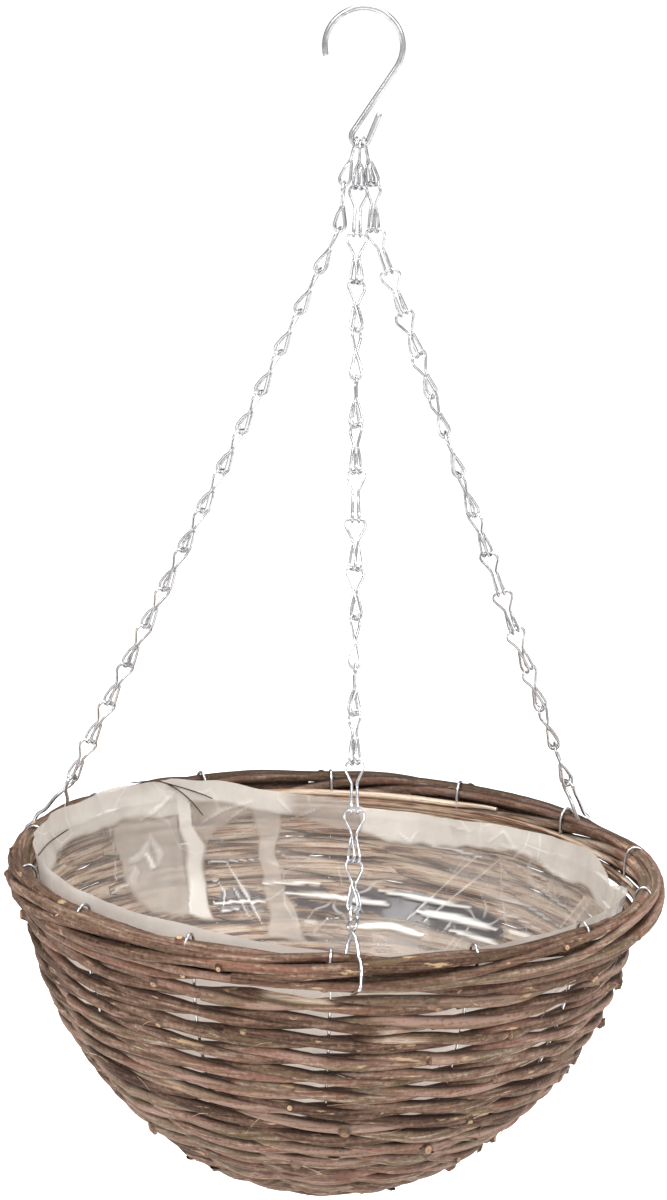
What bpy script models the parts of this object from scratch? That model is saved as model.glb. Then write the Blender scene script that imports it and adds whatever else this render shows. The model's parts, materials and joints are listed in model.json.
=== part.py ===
"""Hanging basket of split rods on wire ribs, hung from an S hook by three chains of bent wire links.

Metres, +Z up. The origin is where the S hook's crook rests on whatever it is hung from.
The hook lies in the X-Z plane and the basket's front chain comes forward along -Y.
"""
import math

import bmesh
import bpy
from mathutils import Matrix, Vector

MM = 0.001
GAP = 0.3 * MM                     # what touching pieces keep between them

# S hook, one bent wire
HOOK_WIRE = 1.5 * MM               # radius of the wire
CROOK_RADIUS = 20 * MM             # of the wire's centre line
CROOK_TIP_ANGLE = math.radians(196)
HOOK_EYE_RADIUS = 4.6 * MM
HOOK_HEIGHT = 71.5 * MM            # crown to eye, centre line to centre line
EYE_TAIL_ANGLE = math.radians(-20)
EYE_TAIL = 15 * MM

# Chain links, each bent from one wire: an eye above, a neck, two hooks side by side below.
# Half widths are across the link, depths are down from the eye's bar.
LINK_WIRE = 0.7 * MM
BAR = 2.6 * MM                     # half width of the eye's bar
EYE = 5.1 * MM                     # half width of the eye where it is widest
EYE_DEPTH = 4.4 * MM
NECK = 1.6 * MM                    # half width between the two strands, from the neck down
NECK_DEPTH = 12.6 * MM
HOOK_BACK = 3.0 * MM               # each hook bows out at its back, runs under and comes up in front
HOOK_BACK_DEPTH = 21.2 * MM
HOOK_UNDER = 1.7 * MM
LINK_FOOT = 26.15 * MM             # depth of the hooks' lowest centre line
HOOK_TIP = 2.4 * MM
HOOK_TIP_DEPTH = 16.5 * MM
LINK_BITE = 0.55 * MM              # links of one section sink this far into each other
LINK_STEP = LINK_FOOT - 2 * LINK_WIRE + LINK_BITE
HINGE_STEP = LINK_FOOT - 2 * LINK_WIRE - GAP
TOP_STEP = HINGE_STEP - 0.5 * MM   # the top links keep room to rock
LINKS_IN_SECTIONS = (5, 5, 4)
TOP_EYE_SPACING = 1.75 * MM        # the three top eyes stand side by side on the hook
SIDE_EYE_LIFT = 1.4 * MM           # the outer two ride up the bend of the hook's eye
SIDE_LEAN = math.radians(14)
SECOND_LINK_SHARE = 0.15           # the second link hangs steeper than the rest of its chain
CHAINS = {"front": 4.2, "left": -115.2, "right": 126.4}   # where each chain meets the rim, degrees

# Rim: one twist of three rods, taller than it is wide
RIM_RADIUS = 167.5 * MM
RIM_DROP = 7.5 * MM                # middle of the twist, below the height that the chains aim at
RIM_TWIST_ACROSS = 4.1 * MM        # each rod's centre from the twist's centre, across and up
RIM_TWIST_UP = 6.0 * MM
RIM_ROD = 2.9 * MM
RIM_ENVELOPE = RIM_TWIST_UP + RIM_ROD
RIM_STEPS = 28                     # straights in a lap
RIM_CUTS = (-8, 22, 49, 76)        # straights in which the three rods meet end to end, in three laps
ROD_AT_RIB = math.radians(120)     # turn of the twist at a rib, whose wire goes over the top inner rod

# Rim hooks at the chains' ends
RIM_HOOK_WIRE = 1.1 * MM
RIM_HOOK_REACH = 25.5 * MM         # from its eye to the height that its chain aims at
RIM_HOOK_EYE = 4.2 * MM            # half width of its eye
RIM_HOOK_BAR = 2.2 * MM            # half width of the eye's bar, and of its shoulders
RIM_HOOK_SHOULDER = 2.6 * MM       # depth of the shoulders below the bar
RIM_HOOK_HIP = 6.4 * MM            # depth where the eye starts to narrow
RIM_HOOK_TAIL = 11 * MM            # depth where the wire's short end stops
BOW_ANGLES = (44, 72)              # about the rim's middle, from the chain's side
FOOT_ANGLES = (19, 10, 0, -8, -15)   # about the hook's eye, from the outside in

# Wall: courses of split rod, one above the other
WALL_TOP = 11.1 * MM               # below the rim's middle
WALL_RADIUS = 164.5 * MM           # outside of the wall where it starts
WALL_DEPTH = 161 * MM
WALL_PINCH = 0.125                 # the bowl narrows by this share more than an ellipse does
COURSES = 18
COURSE_HALF_THICK = 4.2 * MM
FIRST_COURSE_ANGLE = math.radians(3.4)
FIRST_PITCH = 11.3 * MM
PITCH_GROWTH = 0.19 * MM
COURSE_GAP = 1.1 * MM
ROOM_FOR_FLATS = 2.2 * MM          # a course's straights come this far inside its circle
ROD_TAPER = 0.05
CUT_GAP = 0.6 * MM
CUT_STAGGER = 7                    # straights from one course's cut to the next one's
COURSE_STEPS = 24                  # straights in a lap
SMALL_COURSE_STEPS = 12
SMALL_COURSE_RADIUS = 60 * MM

# Ribs: wires that climb the wall and hook over the rim
RIBS = 14
FIRST_RIB = math.radians(0.5)
RIB_WIRE = 0.8 * MM
RIB_BEND = (RIM_ROD + GAP + RIB_WIRE) / math.cos(math.pi / 8)   # from the middle of the rod it goes over
WALL_FOOT = math.radians(80)       # ribs and liner leave the wall here, and start up it at its head
WALL_HEAD = math.radians(0.5)
WALL_POINTS = 7
BASE_RING_RADIUS = 9.5 * MM
BASE_RING_WIRE = 1.2 * MM
BASE_RING_STEPS = 14

# Liner: a sheet that lines the wall up to the rim
LINER_THICK = 0.5 * MM
LINER_TOP = 8 * MM                 # above the rim's middle
LINER_STEPS = 28

COLOURS = {
    "zinc": ((0.78, 0.79, 0.80), 0.25, 1.0),
    "rod": ((0.30, 0.22, 0.17), 0.75, 0.0),
    "film": ((0.85, 0.84, 0.80), 0.2, 0.0),
}


for leftover in list(bpy.data.objects):
    bpy.data.objects.remove(leftover, do_unlink=True)

BASKET = bpy.data.collections.new("hanging_wicker_basket")
bpy.context.scene.collection.children.link(BASKET)
WORLD = {}                         # where each object's origin stands


def finish(name, kind):
    """A material of its own for each piece, in one of the three finishes."""
    colour, rough, metal = COLOURS[kind]
    mat = bpy.data.materials.new(name)
    mat.use_nodes = True
    shader = mat.node_tree.nodes["Principled BSDF"]
    shader.inputs["Base Color"].default_value = (*colour, 1.0)
    shader.inputs["Roughness"].default_value = rough
    shader.inputs["Metallic"].default_value = metal
    mat.diffuse_color = (*colour, 1.0)
    return mat


def seat(obj, place, parent):
    """Put an object at a world place, under its parent."""
    obj.parent = parent
    obj.location = place - (WORLD[parent.name] if parent else Vector())
    WORLD[obj.name] = place


def axis_empty(name, place, parent=None):
    """An empty on a joint's axis, which the pieces that turn with it hang from."""
    empty = bpy.data.objects.new(name, None)
    empty.empty_display_size = 0.01
    BASKET.objects.link(empty)
    seat(empty, place, parent)
    return empty


def tube_mesh(points, radius=1.0, sides=6, closed=False, taper=None, section=None):
    """Mesh of a wire or rod along the points, with closed ends; a rod may have a section of its own."""
    curve = bpy.data.curves.new("run", "CURVE")
    curve.dimensions = "3D"
    curve.twist_mode = "Z_UP" if section else "MINIMUM"
    curve.use_fill_caps = True
    if section:
        curve.bevel_mode = "OBJECT"
        curve.bevel_object = section
    else:
        curve.bevel_depth = radius
        curve.bevel_resolution = {4: 0, 6: 1, 8: 2}[sides]
    spline = curve.splines.new("POLY")
    spline.points.add(len(points) - 1)
    for index, (point, place) in enumerate(zip(spline.points, points)):
        point.co = (*place, 1.0)
        point.radius = taper(index / (len(points) - 1)) if taper else 1.0
    spline.use_cyclic_u = closed
    run = bpy.data.objects.new("run", curve)
    bpy.context.scene.collection.objects.link(run)
    bpy.context.view_layer.update()
    graph = bpy.context.evaluated_depsgraph_get()
    mesh = bpy.data.meshes.new_from_object(run.evaluated_get(graph))
    bpy.data.objects.remove(run)
    bpy.data.curves.remove(curve)
    shape = bmesh.new()
    shape.from_mesh(mesh)
    bmesh.ops.remove_doubles(shape, verts=shape.verts, dist=0.00001)
    bmesh.ops.recalc_face_normals(shape, faces=shape.faces)
    shape.to_mesh(mesh)
    shape.free()
    return mesh


def add_piece(name, mesh, kind, pivot, parent=None):
    """A named piece from a mesh in world coordinates, with its origin on its pivot."""
    mesh.name = name
    mesh.transform(Matrix.Translation(-pivot))
    mesh.materials.clear()
    mesh.materials.append(finish(name, kind))
    mesh.shade_smooth()
    mesh.set_sharp_from_angle(angle=math.radians(75))
    obj = bpy.data.objects.new(name, mesh)
    BASKET.objects.link(obj)
    seat(obj, pivot, parent)
    return obj


def join_meshes(meshes):
    """One closed mesh from meshes that bite into each other."""
    objects = []
    for mesh in meshes:
        obj = bpy.data.objects.new("link", mesh)
        bpy.context.scene.collection.objects.link(obj)
        objects.append(obj)
    first = objects[0]
    for other in objects[1:]:
        union = first.modifiers.new("union", "BOOLEAN")
        union.operation = "UNION"
        union.object = other
    bpy.context.view_layer.update()
    graph = bpy.context.evaluated_depsgraph_get()
    joined = bpy.data.meshes.new_from_object(first.evaluated_get(graph))
    for obj in objects:
        bpy.data.objects.remove(obj)
    return joined


def arc(centre, radius, start, end, steps):
    """Points on an arc in the X-Z plane."""
    turn = [start + (end - start) * k / steps for k in range(steps + 1)]
    return [Vector((centre[0] + radius * math.cos(a), 0, centre[1] + radius * math.sin(a))) for a in turn]


# The S hook

CROOK_CENTRE = (0.0, HOOK_WIRE - CROOK_RADIUS)
HOOK_EYE_CENTRE = (0.0, HOOK_WIRE - HOOK_HEIGHT + HOOK_EYE_RADIUS)


def hook_points():
    """Crook, straight shank and nearly closed eye; the shank is the cross tangent of the two bends."""
    span = CROOK_CENTRE[1] - HOOK_EYE_CENTRE[1]
    lean = math.asin((CROOK_RADIUS + HOOK_EYE_RADIUS) / span)
    crook = arc(CROOK_CENTRE, CROOK_RADIUS, CROOK_TIP_ANGLE, -lean, 15)
    eye = arc(HOOK_EYE_CENTRE, HOOK_EYE_RADIUS, math.pi - lean, 2 * math.pi + EYE_TAIL_ANGLE, 8)
    tail_way = Vector((-math.sin(EYE_TAIL_ANGLE), 0, math.cos(EYE_TAIL_ANGLE)))
    return crook + eye + [eye[-1] + tail_way * EYE_TAIL]


def build_hook():
    add_piece("s_hook", tube_mesh(hook_points(), HOOK_WIRE, 8), "zinc", Vector())


# Chain links, drawn in their own frame: u along the hinge, n outward, d down the chain

def link_points(eye_turn=0.0):
    """One wire: tip, hook, neck, eye, neck, hook, tip. The eye may be turned about the link."""

    def turned(width, turn, depth):
        return (width * math.cos(turn), width * math.sin(turn), depth)

    hook = [(NECK, -HOOK_TIP, HOOK_TIP_DEPTH), (NECK, -HOOK_UNDER, LINK_FOOT),
            (NECK, HOOK_UNDER, LINK_FOOT), (NECK, HOOK_BACK, HOOK_BACK_DEPTH)]
    neck = [(NECK, 0.0, NECK_DEPTH)]
    if eye_turn:
        neck.append(turned(NECK, eye_turn / 2, 2.5 * EYE_DEPTH))
    eye = [turned(EYE, eye_turn, EYE_DEPTH), turned(BAR, eye_turn, 0.0)]
    half = hook + neck + eye
    other = [(-u, n, d) for u, n, d in hook] + [(-u, -n, d) for u, n, d in neck + eye]
    return half + other[::-1]


class Frame:
    """A place on a chain with the directions that its link is drawn along."""

    def __init__(self, place, down, hinge):
        self.place = Vector(place)
        self.d = Vector(down).normalized()
        self.u = (Vector(hinge) - self.d * self.d.dot(Vector(hinge))).normalized()
        self.n = self.u.cross(self.d)

    def at(self, u, n, d):
        return self.place + self.u * u + self.n * n + self.d * d


def link_mesh(frame, eye_turn=0.0):
    return tube_mesh([frame.at(*point) for point in link_points(eye_turn)], LINK_WIRE, 4)


def down_slope(toward, slope):
    """Unit direction that falls towards the rim, at an angle from plumb."""
    return Vector((toward.x * math.sin(slope), toward.y * math.sin(slope), -math.cos(slope)))


def chain_run(start, toward, slope):
    """Eye places and directions of links 2 to 16 and of the rim hook, and where the rim's middle falls."""
    place = Vector(start)
    stops = []
    steps = [(HINGE_STEP, slope * SECOND_LINK_SHARE)]
    for count in LINKS_IN_SECTIONS:
        steps += [(LINK_STEP, slope)] * (count - 1) + [(HINGE_STEP, slope)]
    steps[-1] = (HINGE_STEP - RIM_HOOK_WIRE + LINK_WIRE, slope)
    steps.append((RIM_HOOK_REACH, slope))
    for length, lean in steps:
        down = down_slope(toward, lean)
        stops.append((place, down))
        place = place + down * length
    return stops, place


def solve_chain(start, azimuth):
    """The slope at which the chain ends on the rim's circle."""
    rim = Vector((RIM_RADIUS * math.sin(azimuth), -RIM_RADIUS * math.cos(azimuth), 0))
    flat = Vector((rim.x - start[0], rim.y - start[1], 0))
    reach, toward = flat.length, flat.normalized()
    low, high = math.radians(5), math.radians(60)
    for _ in range(40):
        slope = (low + high) / 2
        _, end = chain_run(start, toward, slope)
        short = (end - Vector(start)).xy.length < reach
        low, high = (slope, high) if short else (low, slope)
    stops, end = chain_run(start, toward, slope)
    return {"toward": toward, "stops": stops, "end": end}


def top_eye(side):
    """Centre of a top link's wire where it hangs in the hook's eye."""
    rest = HOOK_EYE_CENTRE[1] - HOOK_EYE_RADIUS + HOOK_WIRE + GAP + LINK_WIRE
    return Vector((side * TOP_EYE_SPACING, 0, rest + abs(side) * SIDE_EYE_LIFT))


SIDES = {"front": 0, "left": -1, "right": 1}


def lay_out_chains():
    chains = {}
    for name, degrees in CHAINS.items():
        side = SIDES[name]
        lean = SIDE_LEAN * side
        down = Vector((math.sin(lean), 0, -math.cos(lean)))
        eye = top_eye(side)
        foot = eye + down * TOP_STEP
        chain = solve_chain(foot, math.radians(degrees))
        chain.update(eye=eye, down=down, foot=foot, azimuth=math.radians(degrees))
        chains[name] = chain
    return chains


CHAIN = lay_out_chains()
RIM_Z = sum(chain["end"].z for chain in CHAIN.values()) / len(CHAIN) - RIM_DROP
SIDEWAYS_PIVOT = top_eye(0)
FORE_AFT_PIVOT = Vector((0, 0, sum(chain["foot"].z for chain in CHAIN.values()) / len(CHAIN)))


def hinge_of(chain):
    """Level direction across the chain; turning about it swings the chain's end outward."""
    toward = chain["toward"]
    return Vector((toward.y, -toward.x, 0))


def build_top_links(parent):
    """The first link of each chain, its eye turned to hang square on the hook's wire."""
    for name, chain in CHAIN.items():
        frame = Frame(chain["eye"], chain["down"], hinge_of(chain))
        across = Vector((0, 1, 0))
        turn = math.atan2(across.dot(frame.n), across.dot(frame.u))
        turn = (turn + math.pi / 2) % math.pi - math.pi / 2
        add_piece(f"{name}_top_link", link_mesh(frame, turn), "zinc", SIDEWAYS_PIVOT, parent)


def stop_frame(chain, index):
    """Frame of a chain's link, counted from its second, or of its rim hook."""
    place, down = chain["stops"][index]
    return Frame(place, down, hinge_of(chain))


def build_chain(name, parent):
    """Second link, then sections that each turn on the hooks of the one above, then the rim hook."""
    chain = CHAIN[name]
    add_piece(f"{name}_second_link", link_mesh(stop_frame(chain, 0)), "zinc", FORE_AFT_PIVOT, parent)
    index = 1
    above = parent
    for section, count in enumerate(LINKS_IN_SECTIONS):
        frames = [stop_frame(chain, index + k) for k in range(count)]
        mesh = join_meshes([link_mesh(frame) for frame in frames])
        above = add_piece(f"{name}_chain_{('upper', 'middle', 'lower')[section]}", mesh, "zinc",
                          frames[0].place, above)
        index += count
    frame = stop_frame(chain, index)
    add_piece(f"{name}_rim_hook", rim_hook_mesh(chain, frame), "zinc", frame.place, above)


def rim_hook_mesh(chain, frame):
    """Eye, a bow round the outside of the rim, and a foot that curves about the hook's own eye."""
    rim = around(RIM_RADIUS, chain["azimuth"], 0.0)
    reach = (rim - frame.place).length
    frame = Frame(frame.place, rim - frame.place, hinge_of(chain))
    clear = RIM_ENVELOPE + RIM_HOOK_WIRE + 1.5 * GAP
    left = [(-RIM_HOOK_BAR, 0.0, RIM_HOOK_TAIL), (-RIM_HOOK_EYE, 0.0, RIM_HOOK_HIP),
            (-RIM_HOOK_EYE, 0.0, RIM_HOOK_SHOULDER), (-RIM_HOOK_BAR, 0.0, 0.0)]
    right = [(RIM_HOOK_BAR, 0.0, 0.0), (RIM_HOOK_EYE, 0.0, RIM_HOOK_SHOULDER),
             (RIM_HOOK_EYE, RIM_HOOK_WIRE, RIM_HOOK_HIP)]
    bow = [(RIM_HOOK_WIRE, clear * math.sin(a), reach - clear * math.cos(a))
           for a in map(math.radians, BOW_ANGLES)]
    heel = [(0.0, clear + GAP, reach + 2 * RIM_HOOK_WIRE)]
    foot_radius = reach + clear
    foot = [(0.0, foot_radius * math.sin(a), foot_radius * math.cos(a))
            for a in map(math.radians, FOOT_ANGLES)]
    return tube_mesh([frame.at(*point) for point in left + right + bow + heel + foot], RIM_HOOK_WIRE, 6)


# The basket

def around(radius, azimuth, height):
    """World place from a radius and azimuth about the basket's axis and a height from the rim."""
    return Vector((radius * math.sin(azimuth), -radius * math.cos(azimuth), RIM_Z + height))


def twist_angle(azimuth):
    """Turn of the rim's twist, which brings a rod to the same place at every rib."""
    return ROD_AT_RIB + (azimuth - FIRST_RIB) * RIBS / 3


def rim_place(step):
    """Place on the long twist that the rim's rods follow, three times round."""
    azimuth = FIRST_RIB + 2 * math.pi * step / RIM_STEPS
    turn = twist_angle(azimuth)
    return around(RIM_RADIUS + RIM_TWIST_ACROSS * math.cos(turn), azimuth, RIM_TWIST_UP * math.sin(turn))


def beside_cut(place, beyond):
    """Where a rod ends: half the saw cut short of the middle of a straight."""
    straight = beyond - place
    return place + straight * (0.5 - CUT_GAP / 2 / straight.length)


def taper(share):
    return 1.0 - ROD_TAPER * share


def build_rim(parent):
    """Three rods laid end to end in one long twist that goes three times round."""
    for number in range(3):
        first, last = RIM_CUTS[number], RIM_CUTS[number + 1]
        route = [rim_place(k) for k in range(first + 1, last + 1)]
        route.insert(0, beside_cut(route[0], rim_place(first)))
        route.append(beside_cut(route[-1], rim_place(last + 1)))
        mesh = tube_mesh(route, RIM_ROD, 6, taper=taper)
        add_piece(f"rim_rod_{number + 1}", mesh, "rod", FORE_AFT_PIVOT, parent)


def wall_run(angle):
    """How fast the wall's outside goes in and down as its angle grows."""
    narrowing = math.sin(angle) * (1 - WALL_PINCH * math.sin(angle)) + WALL_PINCH * math.cos(angle) ** 2
    return Vector((WALL_RADIUS * narrowing, WALL_DEPTH * math.cos(angle)))


def wall_lean(angle):
    """Lean of the wall from plumb."""
    run = wall_run(angle)
    return math.atan2(run.x, run.y)


def wall_place(angle, inset):
    """Radius and height from the rim of a place on the wall, a distance in from its outside."""
    lean = wall_lean(angle)
    outside = WALL_RADIUS * math.cos(angle) * (1 - WALL_PINCH * math.sin(angle))
    return (outside - inset * math.cos(lean), -WALL_TOP - WALL_DEPTH * math.sin(angle) + inset * math.sin(lean))


def course_angles():
    """Angle down the wall of each course, whose spacing grows towards the base."""
    angles = [FIRST_COURSE_ANGLE]
    for k in range(COURSES - 1):
        angles.append(angles[-1] + (FIRST_PITCH + PITCH_GROWTH * k) / wall_run(angles[-1]).length)
    return angles


def course_section(lean, half_height):
    """Section of a split rod leaning with the wall: cleft flat inside, bark bowed outside."""
    outline = bpy.data.curves.new("section", "CURVE")
    outline.dimensions = "2D"
    spline = outline.splines.new("POLY")
    spline.points.add(4)
    inner, shoulder, outer = -COURSE_HALF_THICK, 0.25 * COURSE_HALF_THICK, COURSE_HALF_THICK
    corners = [(inner, half_height), (inner, -half_height), (shoulder, -half_height), (outer, 0.0),
               (shoulder, half_height)]
    for point, (out, up) in zip(spline.points, corners):
        x = out * math.cos(lean) + up * math.sin(lean)
        y = -out * math.sin(lean) + up * math.cos(lean)
        point.co = (x, y, 0, 1)
    spline.use_cyclic_u = True
    section = bpy.data.objects.new("section", outline)
    bpy.context.scene.collection.objects.link(section)
    return section


def build_courses(parent):
    """Each course is one rod bent round, its butt and tip meeting with a saw cut between."""
    for number, angle in enumerate(course_angles()):
        pitch = FIRST_PITCH + PITCH_GROWTH * (number - 0.5)
        radius, height = wall_place(angle, COURSE_HALF_THICK)
        steps = COURSE_STEPS if radius > SMALL_COURSE_RADIUS else SMALL_COURSE_STEPS
        section = course_section(wall_lean(angle), (pitch - COURSE_GAP) / 2)
        turn = 2 * math.pi / steps
        start = math.pi / COURSE_STEPS + turn * number * CUT_STAGGER
        ring = [around(radius, start + turn * k, height) for k in range(steps)]
        route = [beside_cut(ring[0], ring[-1])] + ring + [beside_cut(ring[-1], ring[0])]
        mesh = tube_mesh(route, taper=taper, section=section)
        bpy.data.objects.remove(section)
        add_piece(f"course_{number + 1:02d}", mesh, "rod", FORE_AFT_PIVOT, parent)


def inside_wall(inset):
    """Profile from the foot of the wall to its head, a distance in from its outside."""
    profile = []
    for k in range(WALL_POINTS):
        angle = WALL_FOOT + (WALL_HEAD - WALL_FOOT) * k / (WALL_POINTS - 1)
        radius, height = wall_place(angle, inset)
        profile.append((radius - ROOM_FOR_FLATS, height))
    return profile


def rod_at_rib():
    """Radius and height from the rim of the rod that a rib goes over."""
    return (RIM_RADIUS + RIM_TWIST_ACROSS * math.cos(ROD_AT_RIB), RIM_TWIST_UP * math.sin(ROD_AT_RIB))


def rib_profile():
    """Radius and height of a rib's wire from the base ring, up the inside of the wall, over a rim rod."""
    wall = inside_wall(2 * COURSE_HALF_THICK + GAP + RIB_WIRE)
    rod, rod_height = rod_at_rib()
    top = [(rod + RIB_BEND * math.cos(a), rod_height + RIB_BEND * math.sin(a))
           for a in map(math.radians, (180, 135, 90, 45, 0))]
    curl = (BASE_RING_WIRE + GAP + RIB_WIRE) / math.cos(math.radians(32.5))
    ring_height = wall[0][1] - curl
    base = [(BASE_RING_RADIUS + curl * math.cos(a), ring_height + curl * math.sin(a))
            for a in map(math.radians, (220, 155, 90))]
    return base + wall + top, ring_height


def build_ribs(parent):
    profile, ring_height = rib_profile()
    for number in range(RIBS):
        azimuth = FIRST_RIB + 2 * math.pi * number / RIBS
        route = [around(radius, azimuth, height) for radius, height in profile]
        add_piece(f"rib_wire_{number + 1:02d}", tube_mesh(route, RIB_WIRE, 4), "zinc", FORE_AFT_PIVOT, parent)
    ring = [around(BASE_RING_RADIUS, 2 * math.pi * k / BASE_RING_STEPS, ring_height)
            for k in range(BASE_RING_STEPS)]
    add_piece("base_ring", tube_mesh(ring, BASE_RING_WIRE, 6, closed=True), "zinc", FORE_AFT_PIVOT, parent)


def build_liner(parent):
    """A turned sheet with a thickness, from just above the rim's middle down to the base."""
    top_radius = rod_at_rib()[0] - RIB_BEND - RIB_WIRE - GAP
    wall = inside_wall(2 * COURSE_HALF_THICK + 2 * RIB_WIRE + 3 * GAP)[::-1]
    outline = [(top_radius, LINER_TOP)] + wall + [(0.0, wall[-1][1])]
    mesh = bpy.data.meshes.new("liner")
    mesh.from_pydata([(radius, 0, RIM_Z - FORE_AFT_PIVOT.z + height) for radius, height in outline],
                     [(k, k + 1) for k in range(len(outline) - 1)], [])
    liner = bpy.data.objects.new("liner", mesh)
    mesh.materials.append(finish("liner", "film"))
    BASKET.objects.link(liner)
    seat(liner, FORE_AFT_PIVOT, parent)
    liner.rotation_euler.z = FIRST_RIB
    turn = liner.modifiers.new("turn", "SCREW")
    turn.steps = LINER_STEPS
    turn.render_steps = LINER_STEPS
    turn.use_smooth_shade = True
    turn.use_merge_vertices = True
    turn.merge_threshold = 0.0001
    thickness = liner.modifiers.new("thickness", "SOLIDIFY")
    thickness.thickness = LINER_THICK
    thickness.offset = -1


def build():
    build_hook()
    sideways = axis_empty("sideways_axis", SIDEWAYS_PIVOT)
    build_top_links(sideways)
    fore_aft = axis_empty("fore_aft_axis", FORE_AFT_PIVOT, sideways)
    for name in CHAIN:
        build_chain(name, fore_aft)
    build_rim(fore_aft)
    build_courses(fore_aft)
    build_ribs(fore_aft)
    build_liner(fore_aft)


build()
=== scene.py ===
"""The hanging basket dressed for its picture: bent wire chains, paired rods on wire ribs, a film liner.

Metres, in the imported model's frame. Azimuths go round the basket from the camera's side.
"""
import json
import math

import bpy
import numpy as np
from mathutils import Matrix, Vector

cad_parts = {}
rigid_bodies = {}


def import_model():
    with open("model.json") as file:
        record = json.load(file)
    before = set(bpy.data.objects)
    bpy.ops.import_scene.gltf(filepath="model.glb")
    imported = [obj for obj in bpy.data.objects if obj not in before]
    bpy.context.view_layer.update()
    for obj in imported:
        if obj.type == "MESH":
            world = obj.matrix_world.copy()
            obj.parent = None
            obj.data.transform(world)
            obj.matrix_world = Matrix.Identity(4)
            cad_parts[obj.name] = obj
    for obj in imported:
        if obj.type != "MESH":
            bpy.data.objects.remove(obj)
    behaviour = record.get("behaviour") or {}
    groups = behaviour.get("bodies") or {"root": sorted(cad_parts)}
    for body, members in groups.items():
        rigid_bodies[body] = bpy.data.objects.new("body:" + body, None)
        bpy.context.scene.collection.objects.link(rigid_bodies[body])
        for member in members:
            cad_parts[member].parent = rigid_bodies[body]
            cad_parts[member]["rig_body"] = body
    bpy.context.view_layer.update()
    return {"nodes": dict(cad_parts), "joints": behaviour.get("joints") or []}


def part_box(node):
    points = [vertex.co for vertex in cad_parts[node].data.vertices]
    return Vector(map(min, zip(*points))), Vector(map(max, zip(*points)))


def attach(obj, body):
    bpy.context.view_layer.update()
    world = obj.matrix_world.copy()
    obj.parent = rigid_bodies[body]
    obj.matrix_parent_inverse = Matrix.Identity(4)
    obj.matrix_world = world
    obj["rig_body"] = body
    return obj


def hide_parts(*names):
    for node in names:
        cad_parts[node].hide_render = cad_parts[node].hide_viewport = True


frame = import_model()

MM = 0.001
TURN = 2 * math.pi

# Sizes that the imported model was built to
RIM_Z = -0.46225
RIM_RADIUS = 167.5 * MM
WALL_TOP = 11.1 * MM
WALL_RADIUS = 164.5 * MM
WALL_DEPTH = 161 * MM
WALL_PINCH = 0.125
COURSES = 18
COURSE_HALF_THICK = 4.2 * MM
FIRST_COURSE_ANGLE = math.radians(3.4)
FIRST_PITCH = 11.3 * MM
PITCH_GROWTH = 0.19 * MM
RIBS = 14
FIRST_RIB = math.radians(0.5)
LINK_STEP = 25.3 * MM
HINGE_STEP = 24.45 * MM
TOP_STEP = 23.95 * MM
LINKS_IN_SECTIONS = {"upper": 5, "middle": 5, "lower": 4}


def tint(red, green, blue):
    """A colour as it shows on a screen, 0 to 255, in the numbers that a shader takes."""
    shown = [c / 255 for c in (red, green, blue)]
    return (*[c / 12.92 if c <= 0.04045 else ((c + 0.055) / 1.055) ** 2.4 for c in shown], 1.0)


def grey(level, blue=None):
    """A grey in the shader's own numbers, a little bluer where its blue is given."""
    return (level, level, level if blue is None else blue, 1.0)


WHITE = grey(1.0)


# Node wiring

def join(tree, value, socket):
    """Link a value to a socket, or set the socket where the value is a plain one."""
    if isinstance(value, bpy.types.NodeSocket):
        tree.links.new(value, socket)
    else:
        socket.default_value = value


def put(tree, kind, inputs=None, **settings):
    """A node with its settings, and its inputs set or linked."""
    node = tree.nodes.new(kind)
    for name, value in settings.items():
        setattr(node, name, value)
    for name, value in (inputs or {}).items():
        join(tree, value, node.inputs[name])
    return node


def maths(tree, operation, *values, clamp=False):
    inputs = dict(enumerate(values))
    return put(tree, "ShaderNodeMath", inputs, operation=operation, use_clamp=clamp).outputs[0]


def vector_maths(tree, operation, *values):
    return put(tree, "ShaderNodeVectorMath", dict(enumerate(values)), operation=operation).outputs[0]


def weighted(tree, *terms, plus=0.0):
    """A number plus each value times its weight."""
    total = plus
    for value, weight in terms:
        total = maths(tree, "MULTIPLY_ADD", value, weight, total)
    return total


def noise(tree, vector, scale, detail, roughness=0.5):
    inputs = {"Vector": vector, "Scale": scale, "Detail": detail, "Roughness": roughness}
    return put(tree, "ShaderNodeTexNoise", inputs).outputs


def between(tree, value, low, high, start=0.0, end=1.0):
    """A value's place from low to high, eased, as start to end."""
    inputs = {"Value": value, "From Min": low, "From Max": high, "To Min": start, "To Max": end}
    return put(tree, "ShaderNodeMapRange", inputs, interpolation_type="SMOOTHSTEP").outputs[0]


def ramp(tree, factor, *stops):
    """Colours between stops, each a place and its colour."""
    node = put(tree, "ShaderNodeValToRGB", {"Fac": factor})
    bar = node.color_ramp.elements
    while len(bar) < len(stops):
        bar.new(0.5)
    for element, (place, colour) in zip(bar, stops):
        element.position = place
        element.color = colour
    return node.outputs[0]


def layered(tree, colour, *layers):
    """A colour with others laid over it in turn, each where its mask is."""
    for mask, over in layers:
        # The node's inputs 6 and 7 and its output 2 are the ones for colours
        colour = put(tree, "ShaderNodeMix", {0: mask, 6: colour, 7: over}, data_type="RGBA").outputs[2]
    return colour


def painted(tree, name):
    """What a mesh carries under this name: a number, or the place along and across its strand."""
    node = put(tree, "ShaderNodeAttribute", attribute_name=name)
    return node.outputs["Vector" if name == "stem" else "Fac"]


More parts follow.
